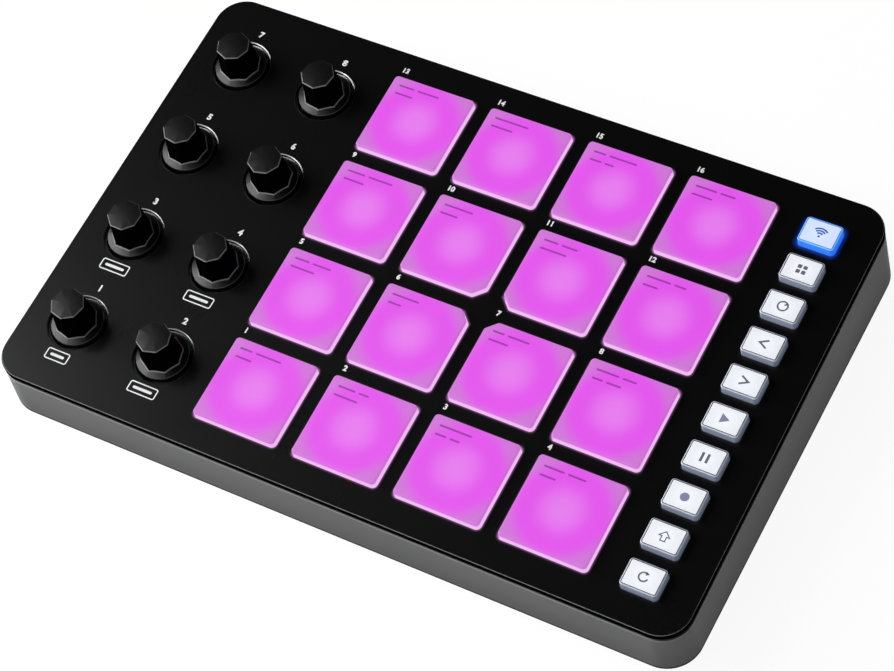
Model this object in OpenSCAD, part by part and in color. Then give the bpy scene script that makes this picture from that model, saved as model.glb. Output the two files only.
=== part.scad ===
// Pad controller: a wedge-shaped desktop case with sixteen lit pads, eight endless knobs
// and a column of ten lit keys. Millimetres, +X right, +Y to the rear, +Z up.
// The origin lies on the table under the middle of the case.
// Everything that belongs to the sloping panel is drawn in the panel's own frame:
// x and y from the panel's middle, z = 0 on its top face.

/* [Case] */
// Width of the case at its foot
case_w = 227.5; // [224:0.5:245]
// Depth of the case at its foot
case_d = 149; // [146:0.5:165]
// Height of the case at its front edge, panel included
front_h = 19; // [18:0.5:26]
// Slope of the panel in degrees, rising to the rear
panel_tilt = 2.3; // [1:0.1:5]
// Corner radius of the case at its foot
case_r = 10.5; // [8:0.5:14]
// Wall thickness of the case frame
wall = 2.2; // [1.6:0.1:3]
// Thickness of the base cover
base_t = 2.5; // [2.2:0.1:3.5]
// Gap all round the base cover
base_gap = 0.3; // [0.2:0.05:0.6]

/* [Panel] */
// Lean of the left and right walls, from the foot in to the panel
side_lean = 1.1; // [0:0.05:3]
// Half of the lean of the front and rear walls together
end_lean = 1.15; // [0:0.05:3]
// Corner radius of the panel
panel_r = 9.2; // [8:0.1:12]
// Thickness of the panel, shadow groove included
panel_t = 2.5; // [2:0.1:3.5]
// Distance of the panel's middle in front of the middle of the foot
panel_setback = 0.9; // [0:0.1:2]
// Height of the shadow groove under the panel's edge
groove_h = 0.5; // [0.3:0.1:0.8]
// Depth of the shadow groove
groove_in = 0.8; // [0.4:0.1:1.2]

/* [Pads] */
// Margin in front of and behind the pad field, at least
pad_edge = 6.85; // [5:0.05:12]
// Distance between the pad field and the right knob column, at least
pad_knob_gap = 15.6; // [14:0.1:20]
// Distance between the pad field and the key column, at least
pad_key_gap = 12.75; // [11.5:0.05:18]
// Space between neighbouring pads
pad_space = 5.85; // [5.5:0.05:9]
// Height of a pad above the panel
pad_h = 2.1; // [1:0.1:4]
// Corner radius of a pad
pad_r = 1.2; // [1:0.1:4]
// Bevel of a pad's top edge
pad_bevel = 0.5; // [0.2:0.1:1]
// Cut at the inner corner of the four pads in the middle of the field
corner_cut = 3.2; // [1:0.1:6]
// Gap between a pad or a key and its window
window_gap = 0.3; // [0.2:0.05:0.5]
// Travel of a pad
pad_travel = 1; // [0.5:0.1:1.5]
// Width of the flange that holds a pad under the panel
flange_w = 1.4; // [0.8:0.1:1.5]
// Thickness of the flanges under pads and keys
flange_t = 1.2; // [0.8:0.1:1.4]
// Distance of the square foot ring from the pad's side
pad_foot_in = 2.7; // [1.5:0.1:5]
// Wall of that ring
pad_foot_wall = 2; // [1:0.1:3]

/* [Knobs] */
// Distance of the left knob column from the panel's edge
knob_edge = 17.05; // [15:0.05:22]
// Distance between the two knob columns
knob_column_gap = 30.3; // [28:0.1:33]
// Diameter of a knob's skirt
skirt_d = 16.1; // [14:0.1:17]
// Depth of the skirt below the panel's top face
skirt_sunk = 1.6; // [0.5:0.1:1.8]
// Height at which the skirt turns into its cone
skirt_h = 0.5; // [0.3:0.1:2]
// Height of the cone's upper end
cone_h = 1.4; // [1:0.1:4]
// Diameter of the cone's upper end
cone_top_d = 11; // [9:0.1:11.5]
// Diameter over the corners of the eight-sided cap at the panel's top face
cap_foot_d = 13; // [12:0.1:14]
// Diameter over the corners of the cap at its top
cap_top_d = 10.7; // [9:0.1:12]
// Height of a knob above the panel
knob_h = 11.5; // [11:0.1:16]
// Bevel of the cap's top edge
cap_bevel = 0.4; // [0.2:0.1:0.8]
// Diameter of the recess round a knob
recess_d = 18.5; // [17.6:0.1:20]
// Depth of that recess
recess_depth = 1.2; // [0.6:0.1:1.6]
// Width of the ledge at the recess's floor
recess_ledge = 0.6; // [0.3:0.1:0.9]
// Room round the encoder's bush inside a knob
hollow_gap = 1; // [0.5:0.1:1.2]

/* [Keys] */
// Distance of the key column from the panel's edge
key_edge = 16.6; // [14:0.05:20]
// Distance of the end keys' middles from the panel's front and rear edges
key_margin = 14.49; // [12:0.01:20]
// Distance of the key column's middle in front of the panel's middle
key_column_in = 0.56; // [0:0.02:1]
// Width of a key
key_w = 11.2; // [9:0.1:11.6]
// Space between neighbouring keys
key_space = 4.48; // [4:0.02:6]
// Height of a key above the panel
key_h = 3; // [1.5:0.1:4]
// Corner radius of a key
key_r = 1; // [0.6:0.1:2]
// Bevel of a key's top edge
key_bevel = 0.6; // [0.2:0.1:1]
// Width of the flange that holds a key under the panel
key_flange_w = 1; // [0.6:0.1:1.2]
// Travel of a key
key_travel = 0.8; // [0.4:0.1:1.2]
// Diameter of the contact pill under a key
pill_d = 4; // [3:0.1:5]

/* [Board] */
// Distance of the board's upper face below the panel's underside
board_drop = 4.5; // [4.4:0.1:6]
// Thickness of the board
board_t = 1.6; // [1:0.1:2]
// Gap between the board and the case wall
board_gap = 1; // [0.5:0.1:2]
// Thickness of the pressure-sensing film
film_t = 0.3; // [0.1:0.05:0.5]
// Gap left under a pad or a key when it is pressed home
press_gap = 0.1; // [0.05:0.05:0.3]
// Side of a square light-emitting diode
led_side = 3.2; // [2:0.1:4]
// Height of a light-emitting diode
led_h = 1.6; // [0.6:0.1:1.6]
// Thickness of a key contact
contact_t = 0.15; // [0.1:0.05:0.3]
// Height of the chips under the board
chip_h = 1.2; // [0.8:0.1:2]
// Side of the processor
processor_side = 10; // [7:0.5:14]
// Width of the radio module
radio_w = 16; // [10:0.5:18]
// Depth of the radio module
radio_d = 12; // [8:0.5:16]
// Side of the charger chip
charger_side = 5; // [3:0.5:7]

/* [Encoders] */
// Side of an encoder's housing
encoder_side = 12; // [11:0.1:13]
// Height of an encoder's housing
encoder_h = 4.4; // [3.6:0.1:4.4]
// Thickness of the floor under an encoder's shaft
housing_floor = 0.5; // [0.3:0.1:1]
// Diameter of the encoder's shaft
shaft_d = 6; // [4:0.1:6]
// Running clearance of the shaft in its bush, on the radius
shaft_clearance = 0.05; // [0.02:0.01:0.1]
// Wall of the bush
bush_wall = 0.6; // [0.4:0.1:1]
// Height of the bush above the panel
bush_h = 1.2; // [0.5:0.1:2]
// Length of the shaft above the panel
shaft_h = 9; // [7:0.1:10]
// Distance of the shaft's flat from its axis
shaft_flat = 1.5; // [1:0.1:2]

/* [Fasteners] */
// Diameter of a screw
screw_d = 2.5; // [2:0.1:3]
// Diameter of a screw head
screw_head_d = 4.5; // [4:0.1:5]
// Height of a screw head
screw_head_h = 1.4; // [1:0.1:1.6]
// Gap between a screw's end and the bottom of its hole
screw_end_gap = 1; // [0.5:0.1:2]
// Outer diameter of posts and lugs round the case screws
post_d = 6; // [5:0.1:6]
// Length of a panel post below the panel
post_len = 7; // [6:0.1:8]
// Gap between a panel post and the case wall
post_gap = 0.4; // [0.2:0.05:0.8]
// Thickness of the rib between a lug and the case wall
lug_rib = 2; // [1.5:0.1:3]
// Outer diameter of the bosses that carry the board
boss_d = 5.2; // [4.6:0.1:5.4]
// Clearance of a screw in its thread hole, on the radius
thread_gap = 0.02; // [0.01:0.01:0.05]
// Clearance of a screw in a through hole, on the radius
through_gap = 0.15; // [0.1:0.05:0.3]

/* [Feet] */
// Diameter of a rubber foot
foot_d = 12; // [8:0.5:16]
// Height of a foot below the base cover
foot_h = 1.5; // [1:0.1:3]
// Depth of the foot's recess in the base cover
foot_sunk = 0.6; // [0.3:0.1:1]
// Distance of a foot from the side of the case
foot_inset = 19; // [14:0.5:30]

/* [Rear] */
// Distance between the lead socket and the power switch
socket_switch_gap = 31; // [15:0.5:40]
// Width of the lead socket
socket_w = 8.9; // [8.6:0.1:9.2]
// Height of the lead socket
socket_h = 3.3; // [3.2:0.1:3.6]
// Depth of the lead socket
socket_depth = 7.4; // [6.5:0.1:9]
// Wall of the lead socket
socket_wall = 0.35; // [0.3:0.05:0.5]
// Gap round the lead socket in the case wall
socket_gap = 0.3; // [0.2:0.05:0.5]
// Thickness of the tongue in the lead socket
tongue_t = 0.7; // [0.6:0.05:0.8]
// Distance of the tongue behind the socket's mouth
tongue_in = 1; // [0.5:0.1:1.5]
// Distance between the power switch and the screw beside the keys
switch_screw_gap = 15.225; // [10:0.005:25]
// Width of the power switch
switch_w = 9; // [8:0.1:10]
// Height and depth of the power switch
switch_h = 4; // [3.6:0.1:4.5]
// Width of the switch's slider
slider_w = 3; // [2:0.1:4]
// Height of the switch's slider
slider_h = 2; // [1.4:0.1:2.4]
// Travel of the switch's slider
slider_travel = 2; // [1:0.1:3]
// Gap round the slider
slider_gap = 0.15; // [0.1:0.05:0.3]
// Reach of the slider behind the top of the case wall
switch_reach = 1; // [0.4:0.1:1.2]

/* [Battery] */
// Length of the battery cell
cell_l = 70; // [50:1:90]
// Width of the battery cell
cell_w = 40; // [30:1:50]
// Thickness of the battery cell
cell_t = 5; // [3:0.1:5.5]
// Middle of the battery cell, behind the middle of the case
cell_y = 20; // [10:1:25]
// Diameter of a battery wire
wire_d = 1.4; // [1:0.1:1.6]
// Bend radius of a battery wire
wire_bend = 3; // [2.5:0.1:4]
// Straight run of a wire from the cell to its bend
wire_run = 4; // [2:0.5:8]

/* [Hidden] */
$fn = 64;
// Angle at which each knob stands, knob 1 first
knob_angles = [8, 38, 21, 15, 14, 36, 0, 13];
pad_rows = 4;
knob_count = 8;
key_names = ["wireless_key", "pad_bank_key", "knob_bank_key", "left_key", "right_key",
             "play_key", "pause_key", "record_key", "shift_key", "repeat_key"];
pad_names = [for (i = [1 : pad_rows * pad_rows]) str("pad_", i)];
knob_names = [for (i = [1 : knob_count]) str("knob_", i)];
shaft_names = [for (i = [1 : knob_count]) str("encoder_shaft_", i)];

// The panel's outline
panel_w = case_w - 2 * side_lean;
panel_d = case_d - 2 * end_lean;
// Knob and key columns from the panel's edges, and the pad field between them
knob_x = -panel_w / 2 + knob_edge;
key_x = panel_w / 2 - key_edge;
field_left = knob_x + knob_column_gap + pad_knob_gap;
field_right = key_x - pad_key_gap;
pad_field_x = (field_left + field_right) / 2;
pad_pitch = min(field_right - field_left, panel_d - 2 * pad_edge) / pad_rows;
pad_side = pad_pitch - pad_space;
pad_foot = pad_side - 2 * pad_foot_in;
key_pitch = (panel_d - 2 * key_margin) / (len(key_names) - 1);
key_d = key_pitch - key_space;
key_first_y = (len(key_names) - 1) / 2 * key_pitch - key_column_in;
// Small overlap that makes cuts and joined shapes pass through each other
over = 1;
// Thickness of the end slices that a tapering block spans
skin = 0.01;
// Height of the panel's middle above the table
panel_z = foot_h + front_h + panel_d / 2 * sin(panel_tilt);
// Depths below the panel's top face
board_depth = panel_t + board_drop;
film_top = -board_depth + film_t;
board_under = -board_depth - board_t;
// Openings and flanges
pad_window = pad_side + 2 * window_gap;
// Distance of the cut corner from the pad's middle
cut_reach = (pad_side - corner_cut) / sqrt(2);
pad_flange = pad_window + 2 * flange_w;
led_hole_d = led_side * sqrt(2) + 2 * window_gap;
light_cell = pad_flange + 2 * window_gap;
light_rib = pad_pitch - light_cell;
pad_field = (pad_rows - 1) * pad_pitch + light_cell + light_rib;
// The knob's hollow round the bush
bush_d = shaft_d + 2 * shaft_clearance + 2 * bush_wall;
hollow_d = bush_d + 2 * hollow_gap;
hollow_top = bush_h + hollow_gap;
shaft_foot = -board_depth + housing_floor + shaft_clearance;
// Screws that hold cover, frame and panel together
post_edge = wall + post_gap + post_d / 2;
corner_in = panel_r - (panel_r - post_edge) * sin(45);
between_knobs_and_pads = (knob_x + knob_column_gap + encoder_side / 2 + pad_field_x - pad_field / 2) / 2;
between_pads_and_keys = (pad_field_x + pad_field / 2 + key_x - key_w / 2 - window_gap - key_flange_w) / 2;
case_screw_places = [for (s = [-1, 1]) each [
    [-panel_w / 2 + corner_in, s * (panel_d / 2 - corner_in) - panel_setback],
    [panel_w / 2 - corner_in, s * (panel_d / 2 - corner_in) - panel_setback],
    [between_knobs_and_pads, s * (panel_d / 2 - post_edge) - panel_setback],
    [between_pads_and_keys, s * (panel_d / 2 - post_edge) - panel_setback]]];
// Screws that hold the board to the panel
board_screw_places = [for (x = [knob_x + knob_column_gap / 2, between_pads_and_keys], row = [-1 : 1])
    [x, row * pad_pitch]];
board_screw_len = board_t + board_drop - screw_end_gap;
// Middle of the lead socket
socket_x = between_pads_and_keys - switch_screw_gap - socket_switch_gap;
// Chip places: between the knob columns, under the pads, between socket and switch
radio_place = [knob_x + knob_column_gap / 2, pad_pitch / 2];
processor_place = [-pad_pitch, -pad_pitch / 2];
charger_place = [socket_x + socket_switch_gap / 2, pad_pitch * 3 / 2];
// The cell lies under the middle of the pads
cell_x = pad_field_x;
// Length of the cuts that pass through the rear wall
wall_cut = 4 * wall;
// Rear face of the power switch, against the inner face of the wall
switch_back = panel_d / 2 - wall;
// Middle of the slider's travel, and the slider at rest
switch_middle = between_pads_and_keys - switch_screw_gap;
switch_x = switch_middle - slider_travel / 2;

// Height of the panel's top face above the table at a place y
function panel_top(y) = panel_z + (y + panel_setback) * tan(panel_tilt);
// Height of a plane that lies at depth d under the panel's top face, at a place y
function panel_plane(y, d) = panel_top(y) - d / cos(panel_tilt);
// Length of a case lug, from the base cover up to the panel's post
function lug_len(y) = panel_plane(y, panel_t) - post_len - foot_h - base_t;
// Place of a pad, pad 1 at the front left
function pad_place(i) = [
    pad_field_x + (i % pad_rows - (pad_rows - 1) / 2) * pad_pitch,
    (floor(i / pad_rows) - (pad_rows - 1) / 2) * pad_pitch, 0];
// Way from a pad to the middle of the pad field
function to_middle(i) = [pad_field_x, 0] - [pad_place(i).x, pad_place(i).y];
// The four pads round the middle of the field, whose inner corners are cut
function is_middle(i) = max(abs(to_middle(i).x), abs(to_middle(i).y)) < pad_pitch;
// Place of a knob, knob 1 at the front left, in line with the rows of pads
function knob_place(i) = [
    knob_x + i % 2 * knob_column_gap,
    (floor(i / 2) - (pad_rows - 1) / 2) * pad_pitch, 0];
// Place of a key, from the rear to the front
function key_place(i) = [key_x, key_first_y - i * key_pitch, 0];

// Moves what is drawn in the panel's frame to the panel's place
module on_panel() {
    translate([0, -panel_setback, panel_z])
        rotate([panel_tilt, 0, 0])
            children();
}

// Copies its children to every case screw
module at_case_screws() {
    for (p = case_screw_places)
        translate([p.x, p.y, 0])
            children();
}

// Flat rectangle with round corners
module rounded_rect(w, d, r) {
    square([w - 2 * r, d], center = true);
    square([w, d - 2 * r], center = true);
    for (x = [-1, 1], y = [-1, 1])
        translate([x * (w / 2 - r), y * (d / 2 - r)])
            circle(r);
}

// Upright plate with round corners between two heights
module plate(w, d, r, z0, z1) {
    translate([0, 0, z0])
        linear_extrude(z1 - z0)
            rounded_rect(w, d, r);
}

// Ridge profile: as wide as w, with its upper two corners cut off by the bevel
module bevelled_profile(w, z0, z1, bevel) {
    polygon([[-w / 2, z0], [w / 2, z0], [w / 2, z1 - bevel], [w / 2 - bevel, z1],
             [-w / 2 + bevel, z1], [-w / 2, z1 - bevel]]);
}

// Block with round upright corners and bevelled top edges
module button_cap(w, d, r, z0, z1, bevel) {
    intersection() {
        plate(w, d, r, z0, z1);
        rotate([90, 0, 0])
            linear_extrude(d + over, center = true)
                bevelled_profile(w, z0, z1, bevel);
        rotate([90, 0, 90])
            linear_extrude(w + over, center = true)
                bevelled_profile(d, z0, z1, bevel);
    }
}

// Turns children from +X to the inner corner of a middle pad
module to_inner_corner(i) {
    rotate([0, 0, atan2(to_middle(i).y, to_middle(i).x)])
        children();
}

// Raised part of a pad
module pad_cap(i) {
    if (is_middle(i))
        intersection() {
            button_cap(pad_side, pad_side, pad_r, -panel_t - flange_t, pad_h, pad_bevel);
            to_inner_corner(i)
                translate([cut_reach - pad_side, 0, 0])
                    rotate([90, 0, 0])
                        linear_extrude(2 * pad_side, center = true)
                            bevelled_profile(2 * pad_side, -panel_t - flange_t, pad_h, pad_bevel);
        }
    else
        button_cap(pad_side, pad_side, pad_r, -panel_t - flange_t, pad_h, pad_bevel);
}

// Window in the panel round a pad
module pad_window_cut(i) {
    if (is_middle(i))
        intersection() {
            plate(pad_window, pad_window, pad_r + window_gap, -panel_t - over, over);
            to_inner_corner(i)
                translate([cut_reach + window_gap - 2 * pad_side, -pad_side, -panel_t - over])
                    cube([2 * pad_side, 2 * pad_side, panel_t + 2 * over]);
        }
    else
        plate(pad_window, pad_window, pad_r + window_gap, -panel_t - over, over);
}

// Tapering block from the foot outline of the case up to the panel's outline, inset all round
module case_block(inset, below, above) {
    hull() {
        translate([0, 0, foot_h - below])
            linear_extrude(below + skin)
                rounded_rect(case_w - 2 * inset, case_d - 2 * inset, case_r - inset);
        on_panel()
            translate([0, 0, -panel_t - skin])
                linear_extrude(above + skin)
                    rounded_rect(panel_w - 2 * inset, panel_d - 2 * inset, panel_r - inset);
    }
}

module top_panel() {
    color([0.05, 0.05, 0.055])
        difference() {
            union() {
                on_panel() {
                    plate(panel_w, panel_d, panel_r, groove_h - panel_t, 0);
                    plate(panel_w - 2 * groove_in, panel_d - 2 * groove_in, panel_r - groove_in,
                          -panel_t, 0);
                    for (p = board_screw_places)
                        translate([p.x, p.y, -board_depth])
                            cylinder(d = boss_d, h = board_drop + panel_t / 2);
                }
                for (p = case_screw_places)
                    translate([p.x, p.y, panel_plane(p.y, panel_t) - post_len])
                        cylinder(d = post_d, h = post_len + panel_t / 2);
            }
            on_panel() {
                for (i = [0 : len(pad_names) - 1])
                    translate(pad_place(i))
                        pad_window_cut(i);
                for (i = [0 : len(key_names) - 1])
                    translate(key_place(i))
                        plate(key_w + 2 * window_gap, key_d + 2 * window_gap, key_r + window_gap,
                              -panel_t - over, over);
                for (i = [0 : knob_count - 1])
                    translate(knob_place(i)) {
                        translate([0, 0, -recess_depth])
                            cylinder(d = recess_d, h = recess_depth + over);
                        translate([0, 0, -panel_t - over])
                            cylinder(d = recess_d - 2 * recess_ledge, h = panel_t + over);
                    }
                for (p = board_screw_places)
                    translate([p.x, p.y, -board_depth - over])
                        cylinder(d = screw_d + 2 * thread_gap, h = board_drop + over);
            }
            for (p = case_screw_places)
                translate([p.x, p.y, panel_plane(p.y, panel_t) - post_len - over])
                    cylinder(d = screw_d + 2 * thread_gap, h = post_len + over);
        }
}

module case_frame() {
    color([0.3, 0.3, 0.31])
        difference() {
            union() {
                difference() {
                    case_block(0, 0, 0);
                    case_block(wall, over, over);
                }
                for (p = case_screw_places)
                    translate([p.x, p.y, foot_h + base_t])
                        cylinder(d = post_d, h = lug_len(p.y));
                intersection() {
                    case_block(wall / 2, 0, 0);
                    for (p = case_screw_places)
                        translate([p.x - lug_rib / 2, min(p.y, sign(p.y) * case_d / 2), foot_h + base_t])
                            cube([lug_rib, case_d / 2 - abs(p.y), lug_len(p.y)]);
                }
            }
            at_case_screws()
                cylinder(d = screw_d + 2 * through_gap, h = panel_z);
            socket_cut();
            slider_cut();
        }
}

// Hole in the rear wall for the lead socket
module socket_cut() {
    on_panel()
        translate([socket_x, panel_d / 2, board_under - socket_h / 2])
            rotate([90, 0, 0])
                linear_extrude(wall_cut, center = true)
                    stadium(socket_w + 2 * socket_gap, socket_h + 2 * socket_gap);
}

// Slot in the rear wall for the power switch's slider
module slider_cut() {
    on_panel()
        translate([switch_middle, panel_d / 2, board_under - switch_h / 2])
            cube([slider_w + slider_travel + 2 * slider_gap, wall_cut, slider_h + 2 * slider_gap],
                 center = true);
}

// Flat slot shape with half-round ends
module stadium(w, h) {
    square([w - h, h], center = true);
    for (x = [-1, 1])
        translate([x * (w - h) / 2, 0])
            circle(d = h);
}

module base_cover() {
    color([0.1, 0.1, 0.105])
        difference() {
            plate(case_w - 2 * wall - 2 * base_gap, case_d - 2 * wall - 2 * base_gap,
                  case_r - wall - base_gap, foot_h, foot_h + base_t);
            at_case_screws() {
                cylinder(d = screw_d + 2 * through_gap, h = foot_h + base_t + over);
                translate([0, 0, -over])
                    cylinder(d = screw_head_d + 2 * through_gap, h = foot_h + screw_head_h + over);
            }
            at_feet()
                cylinder(d = foot_d + 2 * through_gap, h = foot_h + foot_sunk);
        }
}

// Copies its children to the four feet
module at_feet() {
    for (x = [-1, 1], y = [-1, 1])
        translate([x * (case_w / 2 - foot_inset), y * (case_d / 2 - foot_inset), 0])
            children();
}

module rubber_feet() {
    color([0.12, 0.12, 0.12])
        at_feet()
            cylinder(d = foot_d, h = foot_h + foot_sunk);
}

module case_screws() {
    color("silver")
        for (p = case_screw_places)
            translate([p.x, p.y, foot_h]) {
                cylinder(d = screw_head_d, h = screw_head_h);
                cylinder(d = screw_d, h = panel_plane(p.y, panel_t) - foot_h - screw_end_gap);
            }
}

module main_board() {
    color("darkgreen")
        difference() {
            on_panel()
                plate(panel_w - 2 * wall - 2 * board_gap, panel_d - 2 * wall - 2 * board_gap,
                      panel_r - wall - board_gap, board_under, -board_depth);
            at_case_screws()
                cylinder(d = post_d + 2 * board_gap, h = 2 * panel_z);
            on_panel()
                for (p = board_screw_places)
                    translate([p.x, p.y, board_under - over])
                        cylinder(d = screw_d + 2 * through_gap, h = board_t + 2 * over);
        }
}

module board_screws() {
    color("silver")
        on_panel()
            for (p = board_screw_places)
                translate([p.x, p.y, board_under]) {
                    cylinder(d = screw_d, h = board_screw_len);
                    translate([0, 0, -screw_head_h])
                        cylinder(d = screw_head_d, h = screw_head_h);
                }
}

// Chips on the underside of the board: a processor, a radio module and a charger
module board_chips() {
    color([0.08, 0.08, 0.08])
        on_panel() {
            chip(processor_place, processor_side, processor_side);
            chip(radio_place, radio_w, radio_d);
            chip(charger_place, charger_side, charger_side);
        }
}

// One chip on the underside of the board
module chip(place, w, d) {
    translate([place.x - w / 2, place.y - d / 2, board_under - chip_h])
        cube([w, d, chip_h]);
}

module pad_sensor_film() {
    color([0.75, 0.55, 0.2])
        on_panel()
            difference() {
                translate([pad_field_x, 0, 0])
                    plate(pad_field, pad_field, pad_r, -board_depth, film_top);
                for (i = [0 : len(pad_names) - 1])
                    translate(pad_place(i) + [0, 0, -board_depth - over])
                        cylinder(d = led_hole_d, h = film_t + 2 * over);
            }
}

module pad_light_frame() {
    color([0.9, 0.9, 0.88])
        on_panel()
            difference() {
                translate([pad_field_x, 0, 0])
                    plate(pad_field, pad_field, pad_r, film_top, -panel_t);
                for (i = [0 : len(pad_names) - 1])
                    translate(pad_place(i))
                        plate(light_cell, light_cell, pad_r, film_top - over, -panel_t + over);
            }
}

module leds() {
    color([1, 0.95, 0.9])
        on_panel() {
            for (i = [0 : len(pad_names) - 1])
                translate(pad_place(i))
                    led();
            for (i = [0 : len(key_names) - 1])
                translate(key_place(i) - [pill_d / 2 + led_side, 0, 0])
                    led();
        }
}

// One light-emitting diode on the board
module led() {
    translate([-led_side / 2, -led_side / 2, -board_depth])
        cube([led_side, led_side, led_h]);
}

module key_contacts() {
    color("gold")
        on_panel()
            for (i = [0 : len(key_names) - 1])
                translate(key_place(i) - [0, 0, board_depth])
                    cylinder(d = pill_d, h = contact_t);
}

module encoder_housings() {
    color([0.6, 0.62, 0.64])
        on_panel()
            for (i = [0 : knob_count - 1])
                translate(knob_place(i))
                    difference() {
                        union() {
                            translate([-encoder_side / 2, -encoder_side / 2, -board_depth])
                                cube([encoder_side, encoder_side, encoder_h]);
                            translate([0, 0, -board_depth])
                                cylinder(d = bush_d, h = board_depth + bush_h);
                        }
                        translate([0, 0, -board_depth + housing_floor])
                            cylinder(d = shaft_d + 2 * shaft_clearance, h = board_depth + bush_h);
                    }
}

// Cross-section of the flatted shaft, grown by a clearance
module flatted_round(grow) {
    difference() {
        circle(d = shaft_d + 2 * grow);
        translate([-shaft_d, shaft_flat + grow])
            square([2 * shaft_d, shaft_d]);
    }
}

module encoder_shaft(i) {
    color([0.7, 0.7, 0.72])
        on_panel()
            translate(knob_place(i))
                rotate([0, 0, knob_angles[i]]) {
                    translate([0, 0, shaft_foot])
                        cylinder(d = shaft_d, h = bush_h - shaft_foot);
                    translate([0, 0, shaft_foot])
                        linear_extrude(shaft_h - shaft_foot)
                            flatted_round(0);
                }
}

module knob(i) {
    color([0.07, 0.07, 0.075])
        on_panel()
            translate(knob_place(i))
                rotate([0, 0, knob_angles[i]])
                    difference() {
                        union() {
                            rotate_extrude()
                                polygon([[0, -skirt_sunk], [skirt_d / 2, -skirt_sunk],
                                         [skirt_d / 2, skirt_h], [cone_top_d / 2, cone_h],
                                         [0, cone_h]]);
                            cylinder(d1 = cap_foot_d, d2 = cap_top_d, h = knob_h - cap_bevel, $fn = 8);
                            translate([0, 0, knob_h - cap_bevel])
                                cylinder(d1 = cap_top_d, d2 = cap_top_d - 2 * cap_bevel,
                                         h = cap_bevel, $fn = 8);
                        }
                        translate([0, 0, -skirt_sunk - over])
                            cylinder(d = hollow_d, h = skirt_sunk + over + hollow_top);
                        linear_extrude(shaft_h)
                            flatted_round(thread_gap);
                    }
}

module pad(i) {
    foot_z = film_top + press_gap + pad_travel;
    color([0.85, 0.35, 0.9])
        on_panel()
            translate(pad_place(i)) {
                pad_cap(i);
                plate(pad_flange, pad_flange, pad_r, -panel_t - flange_t, -panel_t);
                difference() {
                    plate(pad_foot, pad_foot, pad_r, foot_z, -panel_t);
                    plate(pad_foot - 2 * pad_foot_wall, pad_foot - 2 * pad_foot_wall, pad_r / 2,
                          foot_z - over, -panel_t - flange_t);
                }
            }
}

module key(i) {
    pill_z = -board_depth + contact_t + press_gap + key_travel;
    color([0.93, 0.94, 0.96])
        on_panel()
            translate(key_place(i)) {
                button_cap(key_w, key_d, key_r, -panel_t - flange_t, key_h, key_bevel);
                plate(key_w + 2 * window_gap + 2 * key_flange_w,
                      key_d + 2 * window_gap + 2 * key_flange_w,
                      key_r, -panel_t - flange_t, -panel_t);
                translate([0, 0, pill_z])
                    cylinder(d = pill_d, h = -panel_t - pill_z);
            }
}

module usb_socket() {
    color("silver")
        on_panel()
            translate([socket_x, panel_d / 2, board_under - socket_h / 2])
                rotate([90, 0, 0]) {
                    difference() {
                        linear_extrude(socket_depth)
                            stadium(socket_w, socket_h);
                        translate([0, 0, -over])
                            linear_extrude(socket_depth - socket_wall + over)
                                stadium(socket_w - 2 * socket_wall, socket_h - 2 * socket_wall);
                    }
                    translate([-socket_w / 2 + socket_h / 2, -tongue_t / 2, tongue_in])
                        cube([socket_w - socket_h, tongue_t, socket_depth - tongue_in]);
                }
}

module power_switch_body() {
    color([0.15, 0.15, 0.16])
        on_panel()
            difference() {
                translate([switch_middle - switch_w / 2, switch_back - switch_h, board_under - switch_h])
                    cube([switch_w, switch_h, switch_h]);
                translate([switch_middle, switch_back, board_under - switch_h / 2])
                    cube([slider_w + slider_travel + 2 * slider_gap, switch_h, slider_h + 2 * slider_gap],
                         center = true);
            }
}

module power_switch() {
    color([0.05, 0.05, 0.05])
        on_panel()
            translate([switch_x - slider_w / 2, switch_back - switch_h / 2 + slider_gap,
                       board_under - switch_h / 2 - slider_h / 2])
                cube([slider_w, switch_h / 2 - slider_gap + wall + switch_reach, slider_h]);
}

module battery_cell() {
    color([0.75, 0.75, 0.78])
        translate([cell_x - cell_l / 2, cell_y - cell_w / 2, foot_h + base_t])
            cube([cell_l, cell_w, cell_t]);
}

// Two wires that leave the cell's left end and turn up to the board
module battery_lead() {
    color("firebrick")
        for (s = [-1, 1])
            battery_wire(cell_y + s * wire_d);
}

// One battery wire at a place y
module battery_wire(y) {
    start_z = foot_h + base_t + cell_t / 2;
    top_z = panel_plane(y, board_depth + board_t) - press_gap;
    translate([cell_x - cell_l / 2, y, start_z]) {
        rotate([0, -90, 0])
            cylinder(d = wire_d, h = wire_run);
        translate([-wire_run, 0, wire_bend])
            rotate([90, 0, 180])
                rotate_extrude(angle = -90)
                    translate([wire_bend, 0])
                        circle(d = wire_d);
        translate([-wire_run - wire_bend, 0, wire_bend])
            cylinder(d = wire_d, h = top_z - start_z - wire_bend);
    }
}

top_panel();
case_frame();
base_cover();
rubber_feet();
case_screws();
main_board();
board_screws();
board_chips();
pad_sensor_film();
pad_light_frame();
leds();
key_contacts();
encoder_housings();
usb_socket();
power_switch_body();
power_switch();
battery_cell();
battery_lead();
for (i = [0 : len(pad_names) - 1])
    pad(i);
for (i = [0 : len(key_names) - 1])
    key(i);
for (i = [0 : knob_count - 1]) {
    knob(i);
    encoder_shaft(i);
}
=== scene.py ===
"""Outer pieces, prints, finishes and stage of a desktop pad controller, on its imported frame."""

import math

import bmesh
import bpy
from bpy.props import FloatProperty, FloatVectorProperty, PointerProperty
from mathutils import Matrix, Vector


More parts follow.
